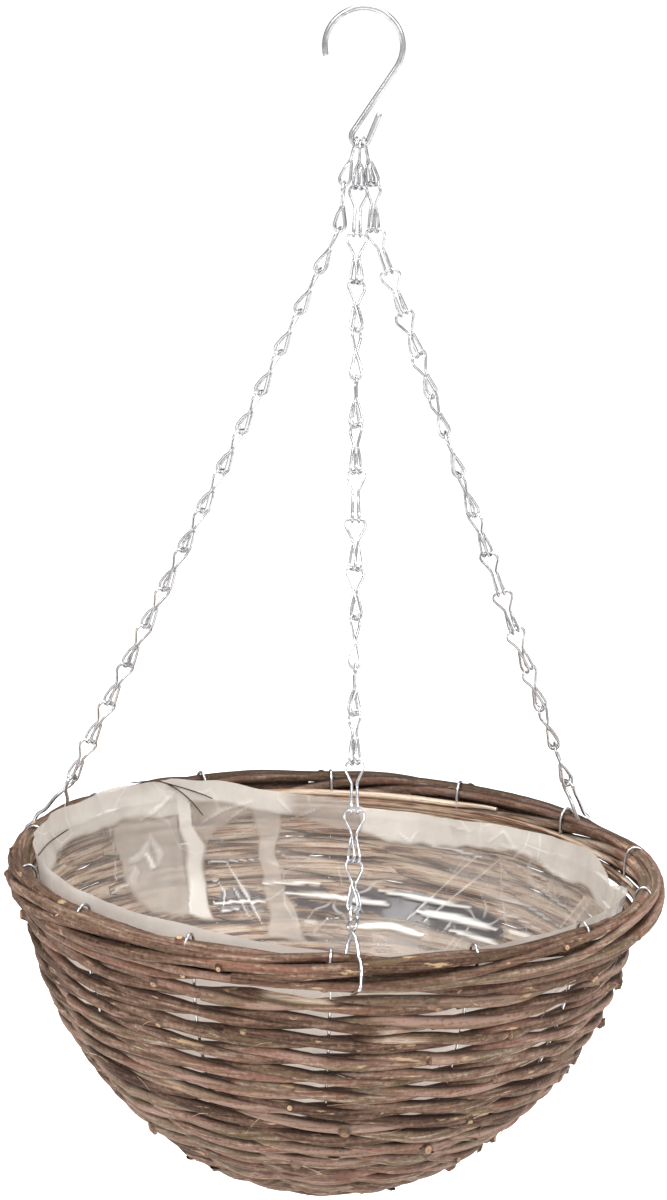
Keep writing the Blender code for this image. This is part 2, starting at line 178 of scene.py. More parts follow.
def make_streaks():
    """Streaks that follow a strand: fine and broad ones, and specks."""
    tree = bpy.data.node_groups.new("streaks", "ShaderNodeTree")
    tree.interface.new_socket("Stem", in_out="INPUT", socket_type="NodeSocketVector")
    for label in ("Along", "Across", "Shift"):
        tree.interface.new_socket(label, in_out="INPUT", socket_type="NodeSocketFloat")
    for label in ("Fine", "Broad", "Specks"):
        tree.interface.new_socket(label, in_out="OUTPUT", socket_type="NodeSocketFloat")
    into = put(tree, "NodeGroupInput").outputs
    drawn = put(tree, "ShaderNodeCombineXYZ", {0: into["Along"], 1: into["Across"], 2: into["Across"]})
    lot = put(tree, "ShaderNodeCombineXYZ", {0: into["Shift"], 1: into["Shift"]})
    where = vector_maths(tree, "MULTIPLY", into["Stem"], drawn.outputs[0])
    where = vector_maths(tree, "ADD", where, lot.outputs[0])
    put(tree, "NodeGroupOutput", {"Fine": noise(tree, where, 1.0, 4.0, 0.6)[0],
                                  "Broad": noise(tree, where, 0.3, 2.0)[0],
                                  "Specks": noise(tree, into["Stem"], 420.0, 5.0, 0.62)[0]})
    return tree


STREAKS = make_streaks()
# How far a strand's tone moves it in the pattern, so that two strands don't have the same one
TONE_SHIFT = 37.0


def streaks(tree, along, across):
    """The strand's streaks, drawn out by how often they change along it and across it, per metre."""
    inputs = {"Stem": painted(tree, "stem"), "Along": along, "Across": across,
              "Shift": maths(tree, "MULTIPLY", painted(tree, "tone"), TONE_SHIFT)}
    return list(put(tree, "ShaderNodeGroup", inputs, node_tree=STREAKS).outputs)


def feed(tree, shader, **values):
    """Set or link the shader's inputs, named with _ for a space."""
    for label, value in values.items():
        join(tree, value, shader.inputs[label.replace("_", " ")])


def new_material(name, **constants):
    """A material, its nodes and its shader, with the values that are the same all over."""
    mat = bpy.data.materials.new(name)
    mat.use_nodes = True
    shader = mat.node_tree.nodes["Principled BSDF"]
    feed(mat.node_tree, shader, **constants)
    return mat, mat.node_tree, shader


def bump(tree, height, distance, strength):
    inputs = {"Height": height, "Distance": distance, "Strength": strength}
    return put(tree, "ShaderNodeBump", inputs).outputs[0]


def make_zinc():
    """Bright galvanised wire with drawing lines and dull patches."""
    mat, tree, shader = new_material("galvanised_wire", Metallic=1.0)
    fine, broad, specks = streaks(tree, 90.0, 1500.0)
    dull = between(tree, weighted(tree, (broad, 0.6), (specks, 0.4)), 0.42, 0.62)
    colour = ramp(tree, dull, (0.0, grey(0.74, 0.75)), (0.7, grey(0.58, 0.59)), (1.0, grey(0.36, 0.37)))
    height = weighted(tree, (fine, 1.0), (specks, 0.5))
    feed(tree, shader, Base_Color=colour, Roughness=weighted(tree, (dull, 0.22), plus=0.10),
         Normal=bump(tree, height, 0.03 * MM, 0.35))
    return mat


def make_bark():
    """Willow rod: grey-brown bark, and where it was split the cream wood, with dark brown laid over it:
    painted shade along the rods' edges, and the dark of bark shreds.
    """
    mat, tree, shader = new_material("willow_bark", IOR=1.4)
    fine, broad, specks = streaks(tree, 38.0, 620.0)
    tone, cleft = painted(tree, "tone"), painted(tree, "cleft")
    shade = weighted(tree, (fine, 0.80), (broad, 0.52), (tone, 0.34), (specks, 0.42), plus=-0.31)
    bark = ramp(tree, shade, (0.42, tint(54, 32, 20)), (0.56, tint(94, 66, 50)), (0.69, tint(124, 97, 79)),
                (0.81, tint(160, 136, 118)), (0.93, tint(210, 192, 175)))
    red = between(tree, weighted(tree, (broad, 1.0), (tone, 0.30)), 0.62, 0.76, 0.0, 0.62)
    moss = between(tree, weighted(tree, (broad, 1.0), (tone, -0.22)), 0.36, 0.26, 0.0, 0.45)
    freckle = between(tree, specks, 0.62, 0.72, 0.0, 0.25)
    pit = between(tree, specks, 0.38, 0.31, 0.0, 0.5)
    scar = between(tree, streaks(tree, 55.0, 210.0)[0], 0.625, 0.68, 0.0, 0.8)
    bark = layered(tree, bark, (red, tint(128, 76, 58)), (moss, tint(104, 92, 62)),
                   (freckle, tint(186, 166, 148)), (pit, tint(50, 32, 24)), (scar, tint(204, 172, 134)))
    strips = streaks(tree, 2.6, 460.0)[0]
    split = ramp(tree, weighted(tree, (strips, 0.8), (fine, 0.25)), (0.42, tint(92, 62, 46)),
                 (0.475, tint(170, 132, 108)), (0.53, tint(208, 182, 158)), (0.60, tint(232, 216, 196)),
                 (0.69, tint(182, 142, 120)))
    grain = maths(tree, "MULTIPLY", strips, cleft)
    height = weighted(tree, (fine, 1.0), (specks, 1.0), (grain, 2.5))
    # The edge layer: painted shade along the rods' tops and bottoms and on the back of the rim, the dark of
    # bark shreds, and a darker band on shoot collars
    colour = layered(tree, bark, (cleft, split), (painted(tree, "edge"), tint(46, 27, 17)))
    feed(tree, shader, Base_Color=colour, Roughness=weighted(tree, (broad, -0.3), plus=0.86),
         Normal=bump(tree, height, 1 * MM, 0.8))
    return mat


def make_cut_wood():
    """The pale face of a sawn end or a trimmed shoot, with its pith and rings."""
    mat, tree, shader = new_material("cut_wood", IOR=1.4)
    fine, broad, _ = streaks(tree, 500.0, 700.0)
    core = painted(tree, "core")
    rings = maths(tree, "SINE", maths(tree, "MULTIPLY", core, 26.0))
    wood = ramp(tree, weighted(tree, (fine, 1.0), (rings, 0.07)),
                (0.3, tint(152, 114, 84)), (0.5, tint(192, 156, 122)), (0.7, tint(216, 188, 158)))
    aged = between(tree, painted(tree, "tone"), 0.3, 0.8, 0.0, 0.7)
    heart, skin = between(tree, core, 0.24, 0.10), between(tree, core, 0.80, 0.95)
    wood = layered(tree, wood, (aged, tint(132, 96, 74)), (heart, tint(120, 82, 58)),
                   (skin, tint(84, 60, 46)))
    feed(tree, shader, Base_Color=wood, Roughness=weighted(tree, (broad, 0.3), plus=0.6),
         Normal=bump(tree, fine, 0.4 * MM, 0.5))
    return mat


# Daylight through the front of the film, in the shader's own numbers
FILM_GLOW = (0.40, 0.375, 0.35, 1.0)


def make_film():
    """Clear polythene that turns milky where it is doubled, with painted shadow and dark reflection in dark
    places, painted reflections as white lines along its creases, and a painted glow that stands in for
    light coming through it from behind.
    """
    mat, tree, shader = new_material("polythene_film", IOR=1.5, Emission_Strength=1.0)
    fine, broad, _ = streaks(tree, 60.0, 60.0)
    stem, painted_shadow = painted(tree, "stem"), painted(tree, "painted_shadow")
    wander = noise(tree, stem, 26.0, 2.0)["Color"]
    where = vector_maths(tree, "MULTIPLY_ADD", wander, (0.03, 0.03, 0.03), stem)
    facets = put(tree, "ShaderNodeTexVoronoi", {"Vector": where, "Scale": 34.0}, feature="DISTANCE_TO_EDGE")
    facets = facets.outputs["Distance"]
    # Painted highlights: white lines along the edges of crumpled facets, laid in with the painted glints
    fold_glints = between(tree, facets, 0.004, 0.032, 0.42, 0.0)
    fold_glints = maths(tree, "MULTIPLY", fold_glints, between(tree, broad, 0.46, 0.56))
    glint = maths(tree, "MAXIMUM", painted(tree, "glint"), fold_glints)
    clouded = maths(tree, "ADD", painted(tree, "milk"), weighted(tree, (fine, 0.3), plus=-0.15), clamp=True)
    colour = ramp(tree, clouded, (0.0, tint(176, 170, 166)), (0.5, tint(194, 184, 175)),
                  (1.0, tint(221, 215, 207)))
    # Painted shadow and dark reflection in dark blue-grey, and painted reflections in white where the
    # glints are
    colour = layered(tree, colour, (painted_shadow, tint(70, 69, 76)), (glint, tint(250, 248, 244)))
    inner = put(tree, "ShaderNodeNewGeometry").outputs["Backfacing"]
    lit = maths(tree, "MULTIPLY", painted(tree, "backlit"), weighted(tree, (inner, -1.0), plus=1.0))
    cover = maths(tree, "MAXIMUM", weighted(tree, (clouded, 0.76), plus=0.16), weighted(tree, (painted_shadow, 0.93)))
    cover = maths(tree, "MAXIMUM", cover, weighted(tree, (glint, 0.94)), clamp=True)
    height = weighted(tree, (broad, 1.0), (fine, 0.4), (facets, 1.1))
    feed(tree, shader, Base_Color=colour, Alpha=cover, Roughness=weighted(tree, (broad, 0.25), plus=0.10),
         Emission_Color=layered(tree, grey(0.0), (lit, FILM_GLOW)),
         Normal=bump(tree, height, 1.2 * MM, 0.45))
    return mat


ZINC = make_zinc()
BARK = make_bark()
CUT_WOOD = make_cut_wood()
FILM = make_film()


# Strands: wires and rods as meshes, gathered into pieces

def sway(along, seed, wave, waves=4):
    """A smooth seeded wander, about -1 to 1, whose waves are near this long."""
    chance = np.random.default_rng(seed)
    total = np.zeros_like(along)
    for _ in range(waves):
        length, size = wave * chance.uniform(0.6, 1.7), chance.uniform(0.5, 1.0)
        total += size * np.sin(TURN * along / length + chance.uniform(0, TURN))
    return total / (0.62 * waves)


def lap_sway(azimuth, seed, low, high):
    """A seeded wander that comes back to itself after a lap, with so many waves in the lap."""
    chance = np.random.default_rng(seed)
    total = np.zeros_like(azimuth)
    for count in range(low, high + 1):
        total += chance.uniform(0.4, 1.0) * np.sin(count * azimuth + chance.uniform(0, TURN))
    return total / math.sqrt(high - low + 1)


def eased(value, low, high):
    """0 below low, 1 above high, smooth between."""
    share = np.clip((np.asarray(value, float) - low) / (high - low), 0, 1)
    return share * share * (3 - 2 * share)


def lengths_to(points):
    """How far along a run each of its points is."""
    return np.concatenate([[0], np.cumsum(np.linalg.norm(np.diff(points, axis=0), axis=1))])


def turns_in(sides):
    return np.arange(sides) * TURN / sides


def unit(way):
    return way / np.linalg.norm(way)


def smooth_run(stops, step):
    """Even points on a smooth curve through the stops."""
    stops = np.array(stops, float)
    ends = np.vstack([2 * stops[0] - stops[1], stops, 2 * stops[-1] - stops[-2]])
    curve = []
    for a, b, c, d in zip(ends, ends[1:], ends[2:], ends[3:]):
        t0, t1 = 0.0, math.dist(a, b) ** 0.5
        t2 = t1 + math.dist(b, c) ** 0.5
        t3 = t2 + math.dist(c, d) ** 0.5
        t = np.linspace(t1, t2, 24, endpoint=False)[:, None]
        ab, bc, cd = [((v - t) * p + (t - u) * q) / (v - u) for p, q, u, v in
                      ((a, b, t0, t1), (b, c, t1, t2), (c, d, t2, t3))]
        abc, bcd = ((t2 - t) * ab + (t - t0) * bc) / (t2 - t0), ((t3 - t) * bc + (t - t1) * cd) / (t3 - t1)
        curve.append(((t2 - t) * abc + (t - t1) * bcd) / (t2 - t1))
    curve = np.vstack(curve + [stops[-1:]])
    run = lengths_to(curve)
    even = np.linspace(0, run[-1], max(4, round(run[-1] / step)))
    return np.column_stack([np.interp(even, run, curve[:, k]) for k in range(3)])


def rays(points, sides):
    """Directions out all round a run at each point, carried along it without twisting."""
    ahead = np.gradient(points, axis=0)
    ahead /= np.linalg.norm(ahead, axis=1)[:, None]
    side = np.cross(ahead[0], (0.31, 0.17, 0.93))
    first = []
    for way in ahead:
        side = unit(side - way * side.dot(way))
        first.append(side)
    first, turns = np.array(first), turns_in(sides)[:, None]
    return first[:, None] * np.cos(turns) + np.cross(ahead, first)[:, None] * np.sin(turns)


def quads(steps, sides):
    """The corners of each face between rings of points, from each ring to the next."""
    ring, side = np.meshgrid(np.arange(steps - 1) * sides, np.arange(sides), indexing="ij")
    beside = (side + 1) % sides
    corners = [ring + side, ring + beside, ring + sides + beside, ring + sides + side]
    return np.stack(corners, -1).reshape(-1, 4)


def placed(name, data):
    """A new object in the scene."""
    obj = bpy.data.objects.new(name, data)
    bpy.context.scene.collection.objects.link(obj)
    return obj


class Bundle:
    """The strands of one piece: their points, faces and painted values."""

    def __init__(self, names=("stem", "tone", "cleft", "edge", "core")):
        self.points, self.faces, self.finish, self.count = [], [], [], 0
        self.paint = {name: [] for name in names}

    def add(self, points, faces, finish=0, **paint):
        points = np.asarray(points).reshape(-1, 3)
        self.points.append(points)
        self.faces += [[corner + self.count for corner in face] for face in faces]
        self.finish += [finish] * len(faces)
        for name, rows in self.paint.items():
            value = np.asarray(paint.get(name, 0.0), float)
            shape = (len(points), 3) if name == "stem" else (len(points),)
            rows.append(np.broadcast_to(value.reshape(shape) if value.ndim else value, shape))
        self.count += len(points)

    def add_strand(self, rings, stem, ends=True, end_finish=0, **paint):
        """Faces round a strand from its rings of points, with a cut face at each end."""
        steps, sides = rings.shape[:2]
        self.add(rings, quads(steps, sides).tolist(), stem=stem, **paint)
        if not ends:
            return
        outer, middle = np.arange(sides), np.full(sides, 2 * sides)
        beside = (outer + 1) % sides
        faces = np.stack([beside, outer, outer + sides, beside + sides], -1).tolist()
        faces += np.stack([beside + sides, outer + sides, middle], -1).tolist()
        for end, turn in ((0, 1), (-1, -1)):
            hub = rings[end].mean(axis=0)
            disc = np.vstack([rings[end], hub + (rings[end] - hub) * 0.55, hub[None]])
            self.add(disc, [face[::turn] for face in faces], end_finish, stem=disc,
                     core=np.repeat([1.0, 0.55, 0.0], [sides, sides, 1]), tone=paint.get("tone", 0.0))

    def piece(self, name, *materials):
        mesh = bpy.data.meshes.new(name)
        mesh.from_pydata(np.vstack(self.points).tolist(), [], self.faces)
        for label, rows in self.paint.items():
            kind, key = ("FLOAT_VECTOR", "vector") if label == "stem" else ("FLOAT", "value")
            layer = mesh.attributes.new(label, kind, "POINT")
            layer.data.foreach_set(key, np.concatenate(rows).ravel().astype(np.float32))
        for mat in materials:
            mesh.materials.append(mat)
        mesh.polygons.foreach_set("material_index", self.finish)
        mesh.shade_smooth()
        return placed(name, mesh)


def stand_for(piece, node):
    """Let a piece take a node's place on the body that carries it."""
    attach(piece, frame["nodes"][node]["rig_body"])
    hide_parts(node)
    return piece


def stem_of(*ways):
    """Places in a strand's own frame: along it and the two ways across it."""
    return np.stack(np.broadcast_arrays(*ways), -1)


def add_wire(bundle, points, radius, sides=10, tone=0.5, **paint):
    """A round wire along even points, its ends rounded over a little."""
    swell = np.full(len(points), radius)
    swell[0] = swell[-1] = radius * 0.8
    rings = points[:, None] + rays(points, sides) * swell[:, None, None]
    run, turns = lengths_to(points)[:, None] + tone * 0.7, turns_in(sides)
    stem = stem_of(run, radius * np.cos(turns), radius * np.sin(turns))
    bundle.add_strand(rings, stem, tone=tone, **paint)


def wire_piece(name, runs, radius, node, sides=10):
    """A piece of one or more wires in a node's place."""
    bundle = Bundle()
    for number, run in enumerate(runs):
        add_wire(bundle, run, radius, sides, tone=(number * 0.37 + len(name) * 0.11) % 1.0)
    return stand_for(bundle.piece(name, ZINC), node)


# The S hook

HOOK_WIRE = 1.5 * MM
CROOK_RADIUS = 20 * MM
CROOK_TIP = math.radians(196)
HOOK_EYE_RADIUS = 4.6 * MM
HOOK_HEIGHT = 71.5 * MM
EYE_TAIL_ANGLE = math.radians(-20)
EYE_TAIL = 15 * MM


def bend(centre, radius, start, end, steps):
    """Places on an arc in the X-Z plane."""
    turn = np.linspace(start, end, steps)
    return np.column_stack([centre[0] + radius * np.cos(turn), 0 * turn, centre[1] + radius * np.sin(turn)])


def make_hook():
    """Crook, straight shank and nearly closed eye of one wire."""
    crook_middle = (0.0, HOOK_WIRE - CROOK_RADIUS)
    eye_middle = (0.0, HOOK_WIRE - HOOK_HEIGHT + HOOK_EYE_RADIUS)
    lean = math.asin((CROOK_RADIUS + HOOK_EYE_RADIUS) / (crook_middle[1] - eye_middle[1]))
    crook = bend(crook_middle, CROOK_RADIUS, CROOK_TIP, -lean, 70)
    eye = bend(eye_middle, HOOK_EYE_RADIUS, math.pi - lean, TURN + EYE_TAIL_ANGLE, 36)
    shank = crook[-1] + (eye[0] - crook[-1]) * np.linspace(0, 1, 12)[1:-1, None]
    way = np.array([-math.sin(EYE_TAIL_ANGLE), 0, math.cos(EYE_TAIL_ANGLE)])
    tail = eye[-1] + way * np.linspace(1 * MM, EYE_TAIL, 10)[:, None]
    run = smooth_run(np.vstack([crook, shank, eye, tail]), 0.8 * MM)
    wire_piece("hook_wire", [run], HOOK_WIRE, "s_hook", 18)


# Chains: each link is one wire, bent to an eye, a neck and two hooks side by side

LINK_WIRE = 0.7 * MM
RIM_HOOK_WIRE = 1.0 * MM
# The link's wire by half width, distance forward and depth, in millimetres: hook from its tip, counted
# up from its foot, then neck and eye, counted down from the eye's bar
HOOK_HALF = ((1.4, -0.75, -13.2), (1.5, -1.5, -9.6), (1.65, -2.45, -5.2), (1.7, -2.75, -3.0),
             (1.7, -1.9, -0.75), (1.65, 0.0, 0.0), (1.65, 1.9, -0.75), (1.65, 2.75, -3.0),
             (1.6, 2.45, -5.2), (1.5, 1.35, -9.6))
EYE_HALF = ((1.4, 0.35, 13.2), (1.5, 0.0, 11.3), (3.3, 0.0, 7.4), (4.9, 0.0, 4.3), (4.95, 0.0, 2.4),
            (3.9, 0.0, 0.55), (2.0, 0.0, 0.0))
# How far each chain's links are turned about it, in degrees at the third link and for each one further
LINK_TURNS = {"front": (30.0, 30.0), "left": (12.0, -3.9), "right": (52.0, 22.5)}
CHAIN_SIDES = {"front": 0, "left": -1, "right": 1}
# The top links on the hook's eye: the front one's height, and how the side ones lean and stand off it
TOP_EYE_Z = -67.5 * MM
SIDE_LEAN = math.radians(14)
SIDE_EYE_ASIDE = 1.75 * MM
SIDE_EYE_LIFT = 1.4 * MM


class ChainFrame:
    """A place on a chain: u along the hinge, n forward, d down the chain."""

    def __init__(self, place, down, hinge):
        self.place, self.d = place, unit(down)
        self.u = unit(hinge - self.d * self.d.dot(hinge))
        self.n = np.cross(self.u, self.d)

    def at(self, u, n, d, turn):
        across, forward = u * math.cos(turn) - n * math.sin(turn), u * math.sin(turn) + n * math.cos(turn)
        return self.place + self.u * across + self.n * forward + self.d * d


def link_run(spot, foot, eye_turn, foot_turn):
    """The smooth wire of one link, whose foot is turned to the eye that hangs from it."""
    half = [(u, n, foot / MM + d) for u, n, d in HOOK_HALF] + list(EYE_HALF)
    other = [(-u, n if k < len(HOOK_HALF) else -n, d) for k, (u, n, d) in enumerate(half)][::-1]
    stops = []
    for u, n, d in half + [(0.0, 0.0, -0.05)] + other:
        turn = eye_turn + (foot_turn - eye_turn) * float(eased(d, 9.0, 18.0))
        stops.append(spot.at(u * MM, n * MM, d * MM, turn))
    return smooth_run(stops, 0.55 * MM)


def link_turn(side, number):
    start, step = LINK_TURNS[side]
    return math.radians(start + step * (number - 3))


def make_chain(side):
    """A chain from its top link to its rim hook; the eyes are numbered from the second link's, 1."""
    names = [f"{side}_{part}_links" for part in LINKS_IN_SECTIONS] + [f"{side}_unhooks"]
    joints = [next(joint for joint in frame["joints"] if joint["name"] == name) for name in names]
    pivots = [np.array(joint["pos_m"], float) for joint in joints]
    hinge = np.array(joints[0]["axis"], float)
    number = 2
    for (part, count), place, below in zip(LINKS_IN_SECTIONS.items(), pivots, pivots[1:]):
        down = unit(below - place)
        runs = []
        for k in range(count):
            spot = ChainFrame(place + down * LINK_STEP * k, down, hinge)
            last = k == count - 1
            foot = (HINGE_STEP if last else LINK_STEP) + 2 * LINK_WIRE
            foot += (RIM_HOOK_WIRE - LINK_WIRE) * 0.5 * (last and part == "lower")
            runs.append(link_run(spot, foot, link_turn(side, number), link_turn(side, number + 1)))
            number += 1
        wire_piece(f"{side}_{part}_chain", runs, LINK_WIRE, f"{side}_chain_{part}")
    make_rim_hook(side, pivots[-1], hinge, link_turn(side, number) if side == "front" else 0.0)
    sideways = CHAIN_SIDES[side]
    lean = SIDE_LEAN * sideways
    eye = np.array([sideways * SIDE_EYE_ASIDE, 0, TOP_EYE_Z + abs(sideways) * SIDE_EYE_LIFT])
    down = np.array([math.sin(lean), 0, -math.cos(lean)])
    foot = eye + down * TOP_STEP
    second = ChainFrame(foot, pivots[0] - foot, hinge)
    length = np.linalg.norm(pivots[0] - foot)
    run = link_run(second, length + 2 * LINK_WIRE, link_turn(side, 1), link_turn(side, 2))
    wire_piece(f"{side}_upper_eye", [run], LINK_WIRE, f"{side}_second_link")
    first = ChainFrame(eye, down, np.array([0, 1, 0]))
    towards = math.atan2(second.u.dot(first.n), second.u.dot(first.u)) + link_turn(side, 1)
    towards = (towards + math.pi / 2) % math.pi - math.pi / 2
    run = link_run(first, TOP_STEP + 2 * LINK_WIRE, 0.0, towards)
    wire_piece(f"{side}_first_link", [run], LINK_WIRE, f"{side}_top_link")


# How far the rim hooks' wire is from the rim's middle, in millimetres
RIM_CLEAR = 10.5


def make_rim_hook(side, place, hinge, turn):
    """A chain's last piece: its eye, a short leg inside the rim, and a long one round its outside."""
    azimuth = math.atan2(place[0], -place[1])
    rim = np.array([RIM_RADIUS * math.sin(azimuth), -RIM_RADIUS * math.cos(azimuth), RIM_Z])
    spot = ChainFrame(place, rim - place, hinge)
    reach = np.linalg.norm(rim - place) / MM
    leg = [(u, RIM_CLEAR * math.sin(a), reach - RIM_CLEAR * math.cos(a))
           for u, a in ((-2.4, 0.77), (-3.3, 1.26))]
    foot = [(u, (reach + RIM_CLEAR) * math.sin(a), (reach + RIM_CLEAR) * math.cos(a))
            for u, a in ((-2.6, 0.33), (-1.4, 0.17), (-0.4, 0.0), (0.0, -0.14), (0.0, -0.26))]
    stops = [(3.9, -1.0, reach - 7.0), (2.4, -1.7, 18.0), (0.8, -1.2, 13.5), (-1.8, -0.3, 9.5),
             (-3.9, 0.0, 5.8), (-4.1, 0.0, 2.6), (-2.4, 0.0, 0.2), (0, 0, 0), (2.4, 0.0, 0.2),
             (4.1, 0.0, 2.6), (3.9, 0.4, 5.8), (1.9, 2.2, 9.5), (-0.8, 5.0, 16.0)]
    stops += leg + [(-3.4, RIM_CLEAR + 0.3, reach + 2.2)] + foot
    turned = [(stop, turn * float(1 - eased(stop[2], 7.0, 14.0))) for stop in stops]
    run = smooth_run([spot.at(u * MM, n * MM, d * MM, angle) for (u, n, d), angle in turned], 0.7 * MM)
    wire_piece(f"{side}_hook_over_rim", [run], RIM_HOOK_WIRE, f"{side}_rim_hook", 12)


# The wall's shape

def wall_run(angle):
    narrowing = np.sin(angle) * (1 - WALL_PINCH * np.sin(angle)) + WALL_PINCH * np.cos(angle) ** 2
    return WALL_RADIUS * narrowing, WALL_DEPTH * np.cos(angle)


def wall_lean(angle):
    return np.arctan2(*wall_run(angle))


def wall_place(angle, inset):
    """Radius and height from the rim of a place on the wall, a distance in from its outside."""
    lean = wall_lean(angle)
    outside = WALL_RADIUS * np.cos(angle) * (1 - WALL_PINCH * np.sin(angle))
    return outside - inset * np.cos(lean), -WALL_TOP - WALL_DEPTH * np.sin(angle) + inset * np.sin(lean)


def around(radius, azimuth, height):
    """World places from radii and azimuths about the basket's axis and heights from the rim."""
    radius, azimuth, height = np.broadcast_arrays(radius, azimuth, height)
    return np.stack([radius * np.sin(azimuth), -radius * np.cos(azimuth), RIM_Z + height], -1)


def course_angles():
    angles = [FIRST_COURSE_ANGLE]
    for k in range(COURSES - 1):
        angles.append(angles[-1] + (FIRST_PITCH + PITCH_GROWTH * k) / math.hypot(*wall_run(angles[-1])))
    return angles


# Rods

ROD_SIDES = 16
SECTION = turns_in(ROD_SIDES)
ROD_STEP = 2.0 * MM
ROD_LENGTH = 0.27
ROD_OVERLAP = 9 * MM
ROD_TIP = 14 * MM
KNOT_SPACING = 0.11
# How far along the bark's pattern each step of a seed moves a rod
SEED_SHIFT = 0.001
# A course's rods in millimetres: their thickness outward and inward, how far they swing out and down
# in their twist, and half their height in front of a rib, behind one and between two
ROD_THICK_OUT, ROD_THICK_IN = 2.65, 2.0
SWING_OUT, SWING_DOWN = 1.75, 2.6
TALL_AT_RIB, TALL_BEHIND_RIB, TALL_BETWEEN = 3.5, 2.7, 3.3
# Inside this radius the rods twist about half as often
CLOSE_RADIUS = 50 * MM
# The chance that two rods meet behind a rib, out of sight
HIDDEN_CUTS = 0.85


def rod_section(half_high, thick_out, thick_in):
    """Out and up of a rod's section at each step: bowed bark outside, flatter where it was split."""
    out = np.cos(SECTION)
    up = np.sign(np.sin(SECTION)) * np.abs(np.sin(SECTION)) ** 0.9
    outward = np.where(out > 0, out * thick_out[:, None], -np.abs(out) ** 0.6 * thick_in[:, None])
    return outward, up * half_high[:, None]


def spot_on(rings, here, side):
    """A place on a rod, the way out of the rod there and the way along it."""
    place = rings[here, side]
    return place, place - rings[here].mean(axis=0), unit(rings[here + 1, side] - rings[here - 1, side])


def add_stub(bundle, spot, radius, tall, tone):
    """The trimmed base of a side shoot: a collar of bark with a pale cut face."""
    place, out, along = spot
    out = unit(out - along * out.dot(along))
    sides = 12
    turn = turns_in(sides)
    ring = np.cos(turn)[:, None] * along + np.sin(turn)[:, None] * np.cross(out, along)
    slant = np.cos(turn + tone * 6)[:, None] * out * radius * 0.25
    rings = np.array([place + ring * radius * wide + out * radius * high + slant * (high > 0)
                      for wide, high in ((1.9, -0.5), (1.35, 0.15), (1.05, tall))])
    bundle.add_strand(rings, rings, ends=False, tone=tone, edge=np.repeat([0.1, 0.5, 0.25], sides))
    disc = np.vstack([rings[-1], rings[-1].mean(axis=0)[None] + out * radius * 0.06])
    faces = [[k, (k + 1) % sides, sides] for k in range(sides)]
    bundle.add(disc, faces, 1, stem=disc, core=np.repeat([1.0, 0.0], [sides, 1]), tone=tone)


def add_fibre(bundle, chance, spot, tone):
    """A shred of bark that has lifted off a rod and curls away along it."""
    place, out, along = spot
    out = unit(out)
    length, lift = chance.uniform(7, 20) * MM, chance.uniform(0.6, 1.8) * MM
    share = np.linspace(0, 1, 14)[:, None]
    up = np.cross(out, along) * chance.uniform(-0.8, 0.8)
    run = place + (along * chance.choice([-1, 1]) + up * share) * share * length
    run = run + out * (lift * share ** 1.5 * (1.7 - share) - 0.2 * MM)
    rings = run[:, None] + rays(run, 5) * ((0.30 - 0.2 * share) * MM)[..., None]
    bundle.add_strand(rings, rings, tone=tone, cleft=chance.uniform(0.1, 0.9))


def rod_piece(bundle, name, node):
    stand_for(bundle.piece(name, BARK, CUT_WOOD), node)


def add_rod(bundle, rings, run, across, upward, seed, tone, cleft, edge):
    """A rod's strand with its cut ends; the seed moves the bark's pattern along it."""
    stem = stem_of(run[:, None] + seed * SEED_SHIFT, across, upward)
    cleft, edge = [np.broadcast_to(value, rings.shape[:2]) for value in (cleft, edge)]
    bundle.add_strand(rings, stem, end_finish=1, tone=tone, cleft=cleft, edge=edge)


def knot_bulge(share, knots, length, half):
    """How much a rod swells along its length: 1 at each knot, and less to both sides."""
    return sum([np.exp(-((share - at) * length / half) ** 2) for at in knots], 0.0)


def rod_cuts(chance, length, crossings, strand):
    """Azimuths at which a strand's rods meet, mostly where the strand is behind a rib."""
    count = max(2, round(length / ROD_LENGTH))
    cuts = (np.arange(count) + chance.uniform(-0.25, 0.25, count)) * TURN / count + chance.uniform(0, TURN)
    spacing = 2 * TURN / crossings
    behind = FIRST_RIB + (1 - strand) * TURN / crossings
    hidden = behind + np.round((cuts - behind) / spacing) * spacing
    return np.unique(np.where(chance.uniform(0, 1, count) < HIDDEN_CUTS, hidden - 0.03 * spacing, cuts))


def from_front(azimuth):
    """An azimuth as -pi to pi, with 0 at the front."""
    return (azimuth + math.pi) % TURN - math.pi


